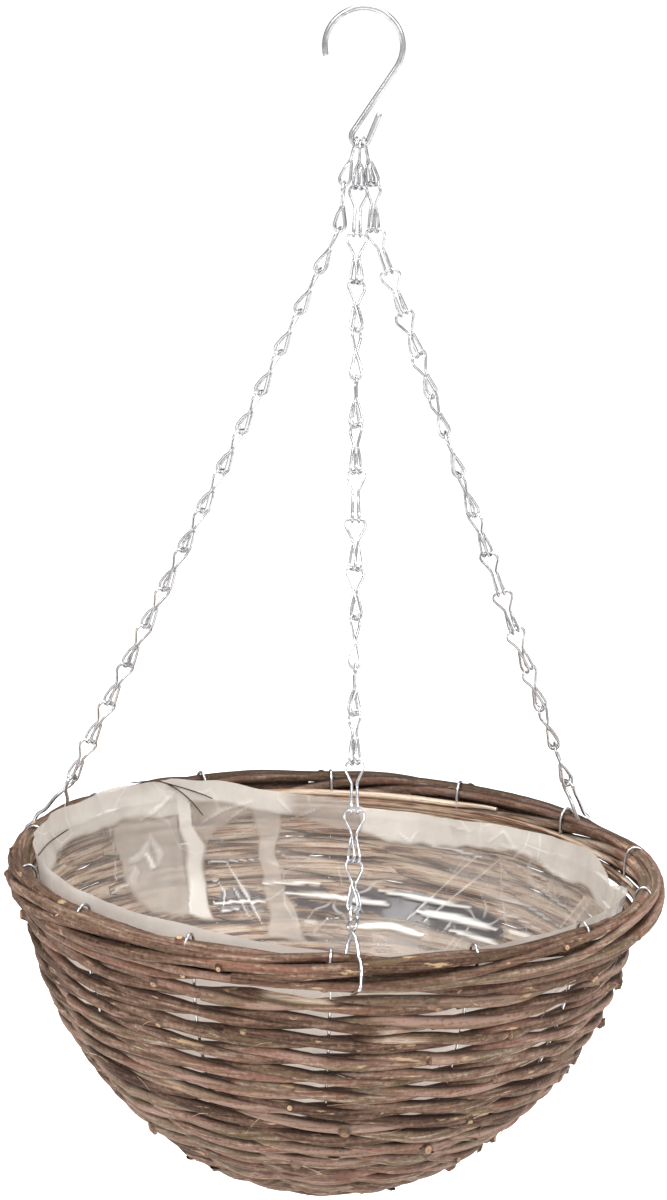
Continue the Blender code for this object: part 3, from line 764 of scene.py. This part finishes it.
def make_course(number, angle):
    """Two rods to a course, twisted about each other between the ribs, one outside each rib in turn."""
    chance = np.random.default_rng(100 + number)
    lean = float(wall_lean(angle))
    middle, height = wall_place(angle, COURSE_HALF_THICK)
    crossings = RIBS if middle > CLOSE_RADIUS else RIBS // 2 - 1
    scale = (FIRST_PITCH + PITCH_GROWTH * (number - 0.5)) / FIRST_PITCH
    bundle = Bundle()
    for strand in range(2):
        cuts = rod_cuts(chance, TURN * middle, crossings, strand)
        for start, end in zip(cuts, [*cuts[1:], cuts[0] + TURN]):
            length, end_on = (end - start) * middle, end + ROD_OVERLAP / middle
            steps = max(24, round((end_on - start) * middle / ROD_STEP))
            azimuth, share = np.linspace(start, end_on, steps), np.linspace(0, 1, steps)
            run = azimuth * middle
            tone, seed = chance.uniform(0, 1), int(chance.integers(1, 10 ** 6))
            phase = (azimuth - FIRST_RIB) * crossings / 2 + math.pi * strand
            phase = phase + 0.30 * lap_sway(azimuth, 900 + number, 3, 9)
            outness, downness = np.cos(phase), np.sin(phase)
            # The courses stand open at the front of the wall's upper part, and are packed elsewhere
            packed = np.maximum(eased(number, 4, 11), eased(np.abs(from_front(azimuth)), 1.45, 2.1))
            thick = (1.10 - 0.26 * share) * (1 + 0.06 * sway(run, seed, 60 * MM))
            tall_at_rib = TALL_AT_RIB + 2.4 * packed + 0.35 * lap_sway(azimuth, 300 + number, 4, 12)
            tall_at_rib = np.where(outness > 0, tall_at_rib, TALL_BEHIND_RIB + 2.3 * packed)
            tall_between = TALL_BETWEEN + 0.9 * packed
            half_high = tall_between + (tall_at_rib - tall_between) * np.abs(outness) ** 1.5
            half_high = half_high * scale * thick ** 0.4 * MM + 0.18 * MM * sway(run, seed + 1, 24 * MM)
            out = (SWING_OUT * outness + 0.55 * sway(run, seed + 2, 80 * MM)) * MM
            up = -(SWING_DOWN - packed) * scale * downness + 0.45 * sway(run, seed + 3, 60 * MM)
            up = up + 0.6 * lap_sway(azimuth + 0.05 * number, 400, 3, 8) - 0.8 * eased(-outness, 0, 1)
            tip = eased(share, 1.0, 1.0 - ROD_TIP / length)
            out = out + 0.9 * MM * (1 - eased(share, 0.0, 0.08)) - 1.4 * MM * (1 - tip)
            knots = chance.uniform(0.06, 0.94, 1 + int(length / KNOT_SPACING))
            bulge = knot_bulge(share, knots, length, 3.6 * MM)
            thick_out = (ROD_THICK_OUT * thick * (0.35 + 0.65 * tip) + 0.55 * bulge) * MM
            thick_in = ROD_THICK_IN * thick * (0.35 + 0.65 * tip) * MM
            across, upward = rod_section(half_high * (0.5 + 0.5 * tip), thick_out, thick_in)
            lumps = sway(run, seed + 4, 13 * MM)[:, None] * np.cos(SECTION * 2 + seed)
            across, upward = across + 0.14 * MM * lumps + out[:, None], upward + up[:, None] * MM
            rings = around(middle + across * math.cos(lean) + upward * math.sin(lean), azimuth[:, None],
                           height - across * math.sin(lean) + upward * math.cos(lean))
            pale = eased(sway(run, seed + 5, 120 * MM), 0.66, 0.9)[:, None]
            torn = eased(np.cos(azimuth + 0.09), 0.990, 0.997)[:, None] * (number == 0)
            cleft = 0.95 * eased(-np.cos(SECTION), 0.25, 0.6)
            cleft = np.maximum(cleft, pale * eased(np.cos(SECTION + seed), 0.2, 0.7) * 0.6)
            cleft = np.maximum(cleft, torn * eased(np.sin(SECTION), 0.1, 0.6))
            # Painted shade: each rod is darkened along its top and bottom, where it meets the courses above
            # and below, except where its bark is torn
            painted_shade = (1 - torn) * np.abs(np.sin(SECTION)) ** 5 * 0.9
            add_rod(bundle, rings, run, across, upward, seed, tone, cleft, painted_shade)
            for _ in range(2):
                here = int(chance.uniform(0.1, 0.9) * (steps - 1))
                side = int(chance.integers(-3, 4)) % ROD_SIDES
                add_fibre(bundle, chance, spot_on(rings, here, side), tone)
            for at in knots:
                here = int(at * (steps - 1))
                if outness[here] < 0.35 or chance.uniform() < 0.45:
                    continue
                side = int(chance.integers(-1, 2)) % ROD_SIDES
                add_stub(bundle, spot_on(rings, here, side), chance.uniform(1.3, 2.6) * MM,
                         chance.uniform(0.35, 0.9), tone)
    label = f"{number + 1:02d}"
    rod_piece(bundle, f"rods_{label}", f"course_{label}")


# Rim

RIM_STRANDS = 7
# The rim's bundle: half its width and height, half a rod's thickness, its taper's length, how far
# in azimuth the rods overlap, and the step between their rings
BUNDLE_HALF_WIDE = 4.0 * MM
BUNDLE_HALF_HIGH = 7.1 * MM
RIM_ROD_HALF = 2.75 * MM
RIM_ROD_TIP = 30 * MM
RIM_ROD_OVERLAP = 0.12
RIM_ROD_STEP = 2.2 * MM
# Thin rods under the bundle: first and last azimuth in degrees, distance in from the rim's middle,
# height, and half thickness, in millimetres
UNDER_RIM = ((13, 150, 3.4, -12.3, 3.0), (118, 236, 4.6, -12.6, 2.3), (205, 341, 3.2, -12.3, 3.0),
             (96, 262, 6.6, -8.4, 2.0), (112, 250, 1.4, -12.9, 1.9), (148, 330, 6.6, -14.0, 1.8),
             (104, 292, 6.9, -4.4, 1.9), (104, 238, 7.3, -11.6, 1.6),
             (118, 250, 5.2, -6.8, 2.2), (146, 216, 6.9, -1.0, 2.0))


# Shreds of bark that lie on the film, by azimuth in degrees and height from the rim in millimetres
SHREDS = (((-134.5, 15.0), (-141.8, 12.8), (-145.2, 8.4), (-149.0, -0.2), (-151.6, -9.0)),
          ((-141.8, 12.8), (-148.2, 6.4), (-151.5, 2.8), (-154.0, -0.4)),
          ((-86.5, 7.6), (-101.8, 2.9), (-112.2, 2.4)))


def add_shreds(bundle):
    """Dark shreds that hang from the rim's rods over the inside of the film."""
    spine_radius, spine_height, _ = film_spine()
    for stops in SHREDS:
        azimuth, height = np.array(stops).T * [[math.pi / 180], [MM]]
        radius = np.interp(-height, -spine_height, spine_radius) - 3.2 * MM
        add_wire(bundle, smooth_run(around(radius, azimuth, height), 1.5 * MM), 0.35 * MM, 5, 0.2, edge=0.8)


def rim_wander(azimuth):
    """How far the rim and the ribs' loops stand out of a true circle."""
    degrees = np.degrees(from_front(azimuth))
    return (2.6 * np.exp(-((degrees - 80) / 24) ** 2) - 1.8 * np.exp(-((degrees + 78) / 40) ** 2)) * MM


def lay_rim_rod(bundle, chance, azimuth, out, up, radius, tone, shoots, split=False):
    """One rod of the rim from its butt to its tip, with the bases of its side shoots."""
    run, share = azimuth * RIM_RADIUS, np.linspace(0, 1, len(azimuth))
    length, seed = (azimuth[-1] - azimuth[0]) * RIM_RADIUS, int(chance.integers(1, 10 ** 6))
    radius = radius * (1 + 0.06 * sway(run, seed, 60 * MM))
    knots = chance.uniform(0.05, 0.95, shoots)
    radius = radius * (0.4 + 0.6 * eased(share, 1.0, 1.0 - RIM_ROD_TIP / length))
    radius = radius + 0.5 * MM * knot_bulge(share, knots, length, 4 * MM)
    lumps = sway(run, seed + 4, 15 * MM)[:, None] * np.cos(SECTION * 2 + seed)
    across = np.cos(SECTION) * radius[:, None] + out[:, None] + 0.2 * MM * lumps
    upward = np.sin(SECTION) * radius[:, None] + up[:, None]
    rings = around(RIM_RADIUS + rim_wander(azimuth)[:, None] + across, azimuth[:, None], upward)
    cleft = eased(-out, 1.0 * MM, 3.0 * MM) * eased(-up, -3.0 * MM, 2.0 * MM)
    cleft = cleft[:, None] * eased(-np.cos(SECTION), 0.1, 0.5)
    # Painted shade along each rod's top and bottom, where it meets its neighbours
    painted_shade = np.abs(np.sin(SECTION)) ** 6 * 0.6
    if split:
        cleft = eased(-np.cos(SECTION), -0.3, 0.1)
    else:
        # Painted shade: the bundle's rods towards the back of the rim, which face away from the lamps, are
        # darkened more
        painted_shade = painted_shade + 0.5 * eased(np.degrees(np.abs(from_front(azimuth))), 95, 135)[:, None]
    add_rod(bundle, rings, run, across, upward, seed, tone, cleft, painted_shade)
    for at in knots:
        spot = spot_on(rings, int(at * (len(azimuth) - 1)), int(chance.integers(-2, 4)) % ROD_SIDES)
        add_stub(bundle, spot, chance.uniform(1.1, 1.9) * MM, chance.uniform(0.25, 0.7), tone)


def make_rim():
    """Rods laid round in one thick bundle, and thinner ones that fill the way down to the wall."""
    chance = np.random.default_rng(41)
    bundles = [Bundle() for _ in range(3)]
    for strand in range(RIM_STRANDS):
        first = chance.uniform(0, TURN)
        second = first + chance.uniform(0.36, 0.62) * TURN
        for start, end in ((first, second + RIM_ROD_OVERLAP), (second, first + TURN + RIM_ROD_OVERLAP)):
            azimuth = np.linspace(start, end, round((end - start) * RIM_RADIUS / RIM_ROD_STEP))
            turn = TURN * strand / RIM_STRANDS + 2 * azimuth + 0.45 * lap_sway(azimuth, 60 + strand, 2, 7)
            out = BUNDLE_HALF_WIDE * np.sign(np.cos(turn)) * np.abs(np.cos(turn)) ** 0.8
            up = BUNDLE_HALF_HIGH * np.sin(turn) + 0.6 * MM * lap_sway(azimuth, 80 + strand, 5, 14)
            radius = RIM_ROD_HALF * (1.14 - 0.28 * np.linspace(0, 1, len(azimuth)))
            lay_rim_rod(bundles[strand % 3], chance, azimuth, out, up, radius, chance.uniform(0, 0.9), 3)
    for number, (start, end, inward, height, half) in enumerate(UNDER_RIM):
        degrees = np.linspace(start, end, (end - start) * 2)
        azimuth = np.radians(degrees)
        out = -inward * MM + 0.6 * MM * lap_sway(azimuth, 500 + number, 3, 9)
        up = height * MM + 0.7 * MM * lap_sway(azimuth, 520 + number, 3, 9)
        ends = np.minimum(eased(degrees, start, start + 14), eased(degrees, end, end - 14))
        up = up + 2.6 * MM * (1 - ends)
        lay_rim_rod(bundles[number % 3], chance, azimuth, out, up, half * MM * (0.5 + 0.5 * ends),
                    chance.uniform(0.1, 0.9), 1, split=True)
    add_shreds(bundles[0])
    for number, bundle in enumerate(bundles, 1):
        rod_piece(bundle, f"rim_rods_{number}", f"rim_rod_{number}")


# Ribs: wires threaded down between the paired rods, looped over the rim

RIB_WIRE = 0.8 * MM
RING_WIRE = 1.2 * MM
RING_RADIUS = 9.5 * MM
RIB_CURL = 2.7 * MM


def make_ribs():
    """The ribs, and the ring under the base that their lower ends go round."""
    lowest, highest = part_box("base_ring")
    foot = (lowest.z + highest.z) / 2 - RIM_Z
    for number in range(RIBS):
        azimuth = FIRST_RIB + TURN * number / RIBS
        chance = np.random.default_rng(700 + number)
        low = [(RING_RADIUS + RIB_CURL * math.cos(a), foot + RIB_CURL * math.sin(a))
               for a in np.radians([235, 180, 135, 90])]
        wall = [wall_place(a, COURSE_HALF_THICK + chance.uniform(-0.3, 0.3) * MM)
                for a in np.radians([84, 76, 66, 54, 42, 30, 20, 10, 3])]
        reach, lift = chance.uniform(-0.5, 0.8), chance.uniform(-0.5, 0.8)
        # Over the rim, by radius and height from its middle in millimetres
        top = [(160.3, -6), (160.2, 2), (161.0, 7), (163.2, 10.3 + lift), (166.6 + reach, 10.6 + lift),
               (169.4 + reach, 7.6), (169.6, 3.4), (167.6, 1.0)]
        top = [(radius * MM + float(rim_wander(azimuth)), height * MM) for radius, height in top]
        slant = np.linspace(0, chance.uniform(-1, 1), len(top)) * 4 * MM / RIM_RADIUS
        turns = azimuth + np.concatenate([np.zeros(len(low) + len(wall)), slant])
        stops = [around(radius, turn, height) for (radius, height), turn in zip(low + wall + top, turns)]
        label = f"{number + 1:02d}"
        wire_piece(f"rib_{label}", [smooth_run(stops, 1.0 * MM)], RIB_WIRE, f"rib_wire_{label}", 8)
    ring = around(RING_RADIUS, np.linspace(0, TURN * 1.04, 40), foot)
    wire_piece("ring_under_base", [smooth_run(ring, 1.0 * MM)], RING_WIRE, "base_ring", 10)


# Liner

FILM_INSET = 9.6 * MM
FILM_ROUND = 560
FILM_DOWN = 178
# Height of the film's edge from the rim's middle by azimuth, in degrees and millimetres
FILM_EDGE = ((-180, -2), (-177, -1.8), (-164, 3.2), (-156, 8), (-152, 9), (-145, 13), (-132, 13.5),
             (-115, 13.5), (-100, 14.5), (-75, 15.5), (-60, 15.5), (-20, 13), (-8, 9), (4, 6.5), (30, 7.5),
             (60, 7.5), (85, 2), (102, -9), (114, -1.5), (130, -3), (145, -5), (157, -8), (174, -6.5),
             (180, -2))


def picture(points):
    """Where places in the scene fall in the photograph, in its pixels."""
    ahead, right, above = (np.array(way) for way in camera_ways())
    seen = points - (np.array(TARGET) - ahead * REACH)
    depth = seen @ ahead
    return PICTURE[0] / 2 + FOCAL * (seen @ right) / depth, PICTURE[1] / 2 - FOCAL * (seen @ above) / depth


# Marks on the film that the photograph shows, by pixels: outlines of milky places, of places of painted
# shadow and dark reflection, and of painted reflections, with their strength, and white lines of painted
# reflection along creases, with half width, strength and the pixels that each runs through
MILKY = (
    (0.65, ((100, 827), (109, 830), (122, 871), (135, 903), (150, 912), (188, 916), (189, 876), (182, 847),
     (175, 815), (151, 817), (122, 822))),
    (0.86, ((14, 850), (24, 822), (50, 796), (100, 780), (150, 768), (200, 768), (240, 778), (215, 790),
     (188, 799), (175, 815), (151, 817), (122, 822), (100, 827), (78, 836), (60, 850), (47, 872),
     (30, 880))),
    (0.98, ((174, 790), (175, 815), (182, 847), (188, 876), (188, 916), (212, 920), (206, 890), (205, 868),
     (203, 844), (190, 824), (188, 802), (196, 786))),
    (0.52, ((188, 799), (194, 780), (240, 780), (254, 792), (282, 790), (330, 796), (361, 802), (361, 832),
     (330, 827), (285, 813), (251, 815), (217, 828), (203, 844), (190, 824))),
    (0.60, ((246, 792), (256, 838), (263, 882), (267, 912), (267, 934), (304, 944), (302, 931), (289, 897),
     (281, 874), (275, 850), (277, 837), (284, 800))),
    (0.93, ((352, 790), (444, 800), (526, 812), (575, 832), (625, 868), (652, 910), (648, 940), (612, 929),
     (604, 912), (589, 890), (555, 872), (514, 851), (485, 848), (436, 846), (405, 845), (361, 832))),
    (0.50, ((555, 939), (571, 915), (588, 894), (603, 910), (614, 930), (600, 950))),
    (0.34, ((420, 852), (480, 852), (560, 876), (586, 895), (556, 936), (510, 924), (480, 890))),
    (0.34, ((300, 930), (330, 915), (420, 925), (500, 944), (430, 960), (330, 950))),
)
# Outlines of painted shadow and dark reflection on the film
PAINTED_SHADOWS = (
    (0.85, ((222, 888), (246, 887), (267, 893), (265, 899), (219, 899))),
    (0.80, ((217, 905), (266, 904), (265, 911), (221, 912))),
    (0.85, ((286, 883), (325, 884), (332, 891), (287, 891))),
    (0.90, ((290, 897), (318, 900), (354, 905), (354, 914), (330, 911), (297, 907))),
    (0.90, ((352, 884), (379, 887), (436, 894), (473, 903), (499, 915), (507, 929), (492, 941), (461, 932),
     (420, 923), (371, 913), (352, 913))),
    (0.35, ((390, 873), (436, 877), (474, 890), (440, 895), (380, 887))),
)
# Outlines of painted reflections on the film
SHINING = (
    (0.55, ((124, 862), (138, 852), (147, 838), (147, 850), (137, 862))),
    (0.85, ((139, 853), (145, 851), (157, 866), (151, 868))),
    (0.60, ((148, 833), (155, 841), (160, 852), (157, 866), (154, 853), (149, 843))),
    (0.50, ((130, 879), (134, 866), (140, 873), (138, 885), (133, 885))),
)
# White lines of painted reflection along the film's creases
CREASE_GLINTS = (
    (1.7, 0.6, ((170, 793), (150, 812), (136, 820))), (1.2, 0.6, ((108, 828), (115, 856), (115, 888))),
    (1.6, 0.8, ((107, 893), (128, 884))), (1.2, 0.7, ((100, 884), (124, 875))),
    (1.4, 0.8, ((206, 862), (232, 860), (259, 858))), (1.7, 0.8, ((226, 862), (247, 896), (262, 924))),
    (1.2, 0.6, ((232, 884), (246, 912), (254, 922))), (2.0, 0.95, ((214, 903), (240, 901), (266, 901))),
    (1.3, 0.9, ((220, 910), (239, 909))), (1.3, 0.8, ((207, 879), (217, 881), (225, 892), (222, 909))),
    (1.2, 0.6, ((197, 824), (222, 810), (253, 800))), (1.1, 0.5, ((225, 821), (247, 806))),
    (1.1, 0.5, ((211, 843), (256, 827))), (1.2, 0.5, ((276, 797), (291, 812))),
    (1.1, 0.5, ((282, 829), (289, 819), (320, 807))), (1.0, 0.4, ((280, 837), (330, 828))),
    (1.2, 0.6, ((277, 851), (288, 857))), (1.1, 0.5, ((304, 862), (316, 850))),
    (1.9, 1.0, ((261, 882), (323, 882))), (3.3, 1.0, ((284, 892), (330, 895), (392, 904))),
    (1.7, 0.8, ((298, 920), (322, 922))), (1.2, 0.5, ((311, 934), (330, 915))),
    (2.5, 1.0, ((379, 890), (422, 898), (475, 908))), (4.6, 1.0, ((417, 911), (456, 917), (498, 929))),
    (4.6, 1.0, ((350, 926), (391, 925), (427, 935))), (3.0, 0.9, ((450, 929), (485, 939), (511, 948))),
    (3.6, 0.8, ((508, 930), (528, 935), (548, 941))), (1.6, 0.8, ((432, 846), (463, 851), (484, 857))),
    (1.6, 0.7, ((534, 859), (583, 888))), (1.4, 0.6, ((517, 865), (547, 880))),
    (1.7, 0.7, ((538, 886), (575, 912))), (1.7, 0.7, ((481, 892), (526, 904), (559, 925))),
    (1.5, 0.7, ((497, 908), (546, 931))), (1.2, 0.6, ((405, 921), (442, 888), (481, 853))),
    (1.2, 0.6, ((418, 926), (464, 889), (514, 849))), (1.1, 0.5, ((440, 936), (461, 912))),
    (1.4, 0.6, ((554, 937), (587, 896))), (1.2, 0.5, ((566, 941), (592, 900))),
    (1.2, 0.6, ((399, 831), (411, 841), (418, 830))),
    (1.4, 0.6, ((491, 841), (505, 831), (518, 849), (503, 845))), (1.1, 0.5, ((452, 825), (473, 831))),
    (1.2, 0.6, ((481, 888), (489, 908), (485, 921))), (1.2, 0.5, ((60, 880), (84, 884), (104, 892))),
)


def from_line(across, down, first, last):
    """Distance of each pixel place from a straight line, and its share of the way along."""
    (x0, y0), (x1, y1) = first, last
    share = ((across - x0) * (x1 - x0) + (down - y0) * (y1 - y0)) / ((x1 - x0) ** 2 + (y1 - y0) ** 2)
    share = np.clip(share, 0, 1)
    return np.hypot(across - x0 - share * (x1 - x0), down - y0 - share * (y1 - y0)), share


def filled(across, down, places, softness=1.0):
    """How strongly each pixel place lies in these outlines, whose edges are sharp here and soft there."""
    soft = softness * (3.2 + 2.2 * np.sin(across / 19 + 1) * np.sin(down / 14))
    strongest = np.zeros_like(across)
    across = across + 1.3 * np.sin(down / 6.5 + across / 31) + 1.0 * np.sin(down / 15.7 + 2)
    down = down + 1.0 * np.sin(across / 9.1) + 0.8 * np.sin(across / 3.7 + 1)
    for strength, outline in places:
        inside, nearest = np.zeros(across.shape, bool), np.full(across.shape, 1e9)
        for first, last in zip(outline, outline[1:] + outline[:1]):
            (x0, y0), (x1, y1) = first, last
            nearest = np.minimum(nearest, from_line(across, down, first, last)[0])
            if y0 != y1:
                inside ^= ((down < y0) != (down < y1)) & (across < x0 + (down - y0) * (x1 - x0) / (y1 - y0))
        depth = np.where(inside, nearest, -nearest)
        strongest = np.maximum(strongest, strength * eased(depth / soft, -1.0, 1.0))
    return strongest


def drawn(across, down, lines):
    """How strongly each pixel place is marked by these lines, whose ends taper."""
    strongest = np.zeros_like(across)
    for half, strength, stops in lines:
        lengths = [math.dist(a, b) for a, b in zip(stops, stops[1:])]
        for k, (first, last) in enumerate(zip(stops, stops[1:])):
            distance, share = from_line(across, down, first, last)
            place = (sum(lengths[:k]) + share * lengths[k]) / sum(lengths)
            width = 1.2 * half * np.sqrt(np.clip(4 * place * (1 - place), 0.03, 1))
            strongest = np.maximum(strongest, strength * (1 - eased(distance / width, 0.4, 1.0)))
    return strongest


def film_spine():
    """Radius, height and length of the film's profile from above the rim to the middle of its base."""
    radius, height = wall_place(np.radians(np.linspace(0.5, 84, 60)), FILM_INSET)
    radius = np.concatenate([[160.5 * MM, 159.0 * MM], radius, [10 * MM, 1 * MM]])
    height = np.concatenate([[16 * MM, 7 * MM], height, height[-1:] - 0.2 * MM, height[-1:] - 0.2 * MM])
    return radius, height, lengths_to(np.column_stack([radius, height]))


def make_film_liner():
    """One sheet from its edge at the rim, down the wall and across the base, with pleats and creases."""
    azimuth = turns_in(FILM_ROUND)
    azimuth = azimuth - 0.66 * np.sin(azimuth) - math.pi
    edge = (np.interp(np.degrees(azimuth), *zip(*FILM_EDGE)) + 0.8 * lap_sway(azimuth, 11, 6, 20)) * MM
    spine_radius, spine_height, run = film_spine()
    start = np.interp(-edge, -spine_height, run)
    along = start + (run[-1] - start) * np.linspace(0, 1, FILM_DOWN)[:, None] ** 1.1
    radius, height = np.interp(along, run, spine_radius), np.interp(along, run, spine_height)
    paint = film_paint(around(radius, azimuth[None], height), azimuth, along - start)
    near_rim = eased(height, -70 * MM, -15 * MM)
    pleat = (0.4 + 0.6 * near_rim) * lap_sway(azimuth, 21, 9, 30)
    pleat = pleat + 0.5 * near_rim * lap_sway(azimuth, 22, 30, 60)
    ruffle = 0.5 * np.sin(along * 70 + 4 * lap_sway(azimuth, 23, 2, 7))
    ruffle = ruffle + 0.4 * np.sin(along * 160 + azimuth * 9)
    inward = (np.maximum(pleat + ruffle, -1.0) + 1.0) * 0.9 + 0.7 * paint["glint"] + 0.8 * paint["milk"]
    radius = radius - inward * MM * eased(radius, 20 * MM, 120 * MM)
    points = around(radius, azimuth[None], height)
    bundle = Bundle(("stem", *paint))
    bundle.add(points, quads(FILM_DOWN, FILM_ROUND)[:, [0, 3, 2, 1]].tolist(), stem=points, **paint)
    film = stand_for(bundle.piece("film_liner", FILM), "liner")


def film_paint(points, azimuth, below_edge):
    """Where the film is milky, where it gets painted shadow and dark reflection, where it gets a painted
    reflection as a white line along a crease, and where it gets a painted glow as if lit from behind.
    """
    across, down = picture(points)
    depth = RIM_Z - points[..., 2]
    # The far part of the film is seen from inside, over the front rim
    far = np.maximum(eased(np.abs(azimuth), 1.1, 1.45),
                     eased(depth, 60 * MM, 75 * MM) * eased(points[..., 1], -90 * MM, -60 * MM))
    milk = 0.16 + 0.10 * lap_sway(azimuth, 31, 5, 16) + 0.08 * np.sin(below_edge * 90 + 3 * azimuth)
    hem = 0.95 * (1 - eased(below_edge, 11 * MM, 14 * MM))
    hem = hem * (1 - eased(np.degrees(np.abs(azimuth)), 168, 178))
    milk = np.clip(milk, 0.04, 0.4)
    for cover in (0.9 * (1 - far), far * filled(across, down, MILKY), hem):
        milk = np.maximum(milk, cover)
    return {"milk": milk, "painted_shadow": far * filled(across, down, PAINTED_SHADOWS, 0.55),
            "glint": far * np.maximum(drawn(across, down, CREASE_GLINTS), filled(across, down, SHINING, 0.5)),
            "backlit": (1 - far) * (0.35 + 0.65 * eased(depth, 5 * MM, 11 * MM)), "tone": 0.3}


# Camera, light and floor

PITCH = math.radians(14.23)
ROLL = math.radians(2.19)
REACH = 3.062
# The focal length and the picture's width and height, in the photograph's pixels
FOCAL = 5838.0
PICTURE = (667, 1200)
TARGET = Vector((-0.0047, 0, -0.311541))


def camera_ways():
    """The camera's way ahead, and what is right and up in its picture."""
    ahead = Vector((0, math.cos(PITCH), -math.sin(PITCH)))
    up = Vector((0, math.sin(PITCH), math.cos(PITCH)))
    side = Vector((1, 0, 0))
    return ahead, side * math.cos(ROLL) + up * math.sin(ROLL), up * math.cos(ROLL) - side * math.sin(ROLL)


def make_camera():
    ahead, right, above = camera_ways()
    lens = bpy.data.cameras.new("camera")
    lens.lens = FOCAL * lens.sensor_width / max(PICTURE)
    camera = placed("camera", lens)
    turn = Matrix((right, above, -ahead)).transposed().to_4x4()
    camera.matrix_world = Matrix.Translation(TARGET - ahead * REACH) @ turn
    bpy.context.scene.camera = camera


# Square lamps that all face the basket: place, side and power
SOFTBOXES = {"softbox_left": ((-1.4, -1.7, 1.3), 1.2, 40), "softbox_right": ((1.6, -1.4, 1.0), 1.2, 24),
             "softbox_above": ((0.1, 0.2, 1.3), 1.4, 34)}
LIT_PLACE = Vector((0, 0, -0.45))


def bare_tree(block):
    """The nodes of a material or a world, with none in them."""
    block.use_nodes = True
    block.node_tree.nodes.clear()
    return block.node_tree


def mixed(tree, factor, first, second):
    return put(tree, "ShaderNodeMixShader", {0: factor, 1: first, 2: second}).outputs[0]


def make_light():
    """Lamps, and a studio that is white to the camera and has dark and bright flanks in the wires."""
    for name, (place, side, power) in SOFTBOXES.items():
        light = bpy.data.lights.new(name, "AREA")
        light.size, light.energy = side, power
        lamp = placed(name, light)
        lamp.location = place
        lamp.rotation_euler = (LIT_PLACE - Vector(place)).to_track_quat("-Z", "Y").to_euler()
    world = bpy.data.worlds.new("studio")
    bpy.context.scene.world = world
    tree = bare_tree(world)
    way = put(tree, "ShaderNodeSeparateXYZ", {0: put(tree, "ShaderNodeTexCoord").outputs["Generated"]})
    flanks = ramp(tree, weighted(tree, (way.outputs[1], 0.5), plus=0.5), (0.08, grey(0.88)),
                  (0.20, grey(0.45, 0.46)), (0.38, grey(0.95)), (0.54, grey(0.60, 0.61)),
                  (0.68, grey(0.12, 0.13)), (0.90, grey(0.20, 0.21)), (0.98, grey(0.9)))
    path = put(tree, "ShaderNodeLightPath").outputs
    seen = maths(tree, "MAXIMUM", path["Is Camera Ray"], path["Is Transmission Ray"])
    fill, mirrored, white = [
        put(tree, "ShaderNodeBackground", {"Color": colour, "Strength": strength}).outputs[0]
        for colour, strength in ((WHITE, 0.52), (flanks, 1.0), (WHITE, 1.0))]
    around_it = mixed(tree, path["Is Glossy Ray"], fill, mirrored)
    put(tree, "ShaderNodeOutputWorld", {"Surface": mixed(tree, seen, around_it, white)})


FLOOR_Z = -0.79
FLOOR_HALF = 6.0


def make_floor():
    """A pale floor under the basket that keeps its shadow, see-through from below."""
    mat = bpy.data.materials.new("pale_floor")
    tree = bare_tree(mat)
    geometry = put(tree, "ShaderNodeNewGeometry").outputs
    cloud = noise(tree, geometry["Position"], 3.0, 2.0)[0]
    colour = ramp(tree, cloud, (0.3, grey(0.90)), (0.7, grey(0.93)))
    matt = put(tree, "ShaderNodeBsdfDiffuse", {"Color": colour}).outputs[0]
    shine = put(tree, "ShaderNodeEmission", {"Color": WHITE, "Strength": 0.55}).outputs[0]
    lit = put(tree, "ShaderNodeAddShader", {0: matt, 1: shine}).outputs[0]
    seen = mixed(tree, put(tree, "ShaderNodeLightPath").outputs["Is Camera Ray"], matt, lit)
    clear = put(tree, "ShaderNodeBsdfTransparent").outputs[0]
    put(tree, "ShaderNodeOutputMaterial", {"Surface": mixed(tree, geometry["Backfacing"], seen, clear)})
    mesh = bpy.data.meshes.new("floor")
    corners = [(x * FLOOR_HALF, y * FLOOR_HALF, FLOOR_Z) for x, y in ((-1, -1), (1, -1), (1, 1), (-1, 1))]
    mesh.from_pydata(corners, [], [(0, 1, 2, 3)])
    mesh.materials.append(mat)
    placed("floor", mesh)


def build():
    make_camera()
    make_hook()
    for side in CHAIN_SIDES:
        make_chain(side)
    for number, angle in enumerate(course_angles()):
        make_course(number, angle)
    make_rim()
    make_ribs()
    make_film_liner()
    make_light()
    make_floor()
    bpy.context.scene.view_settings.view_transform = "Standard"


build()
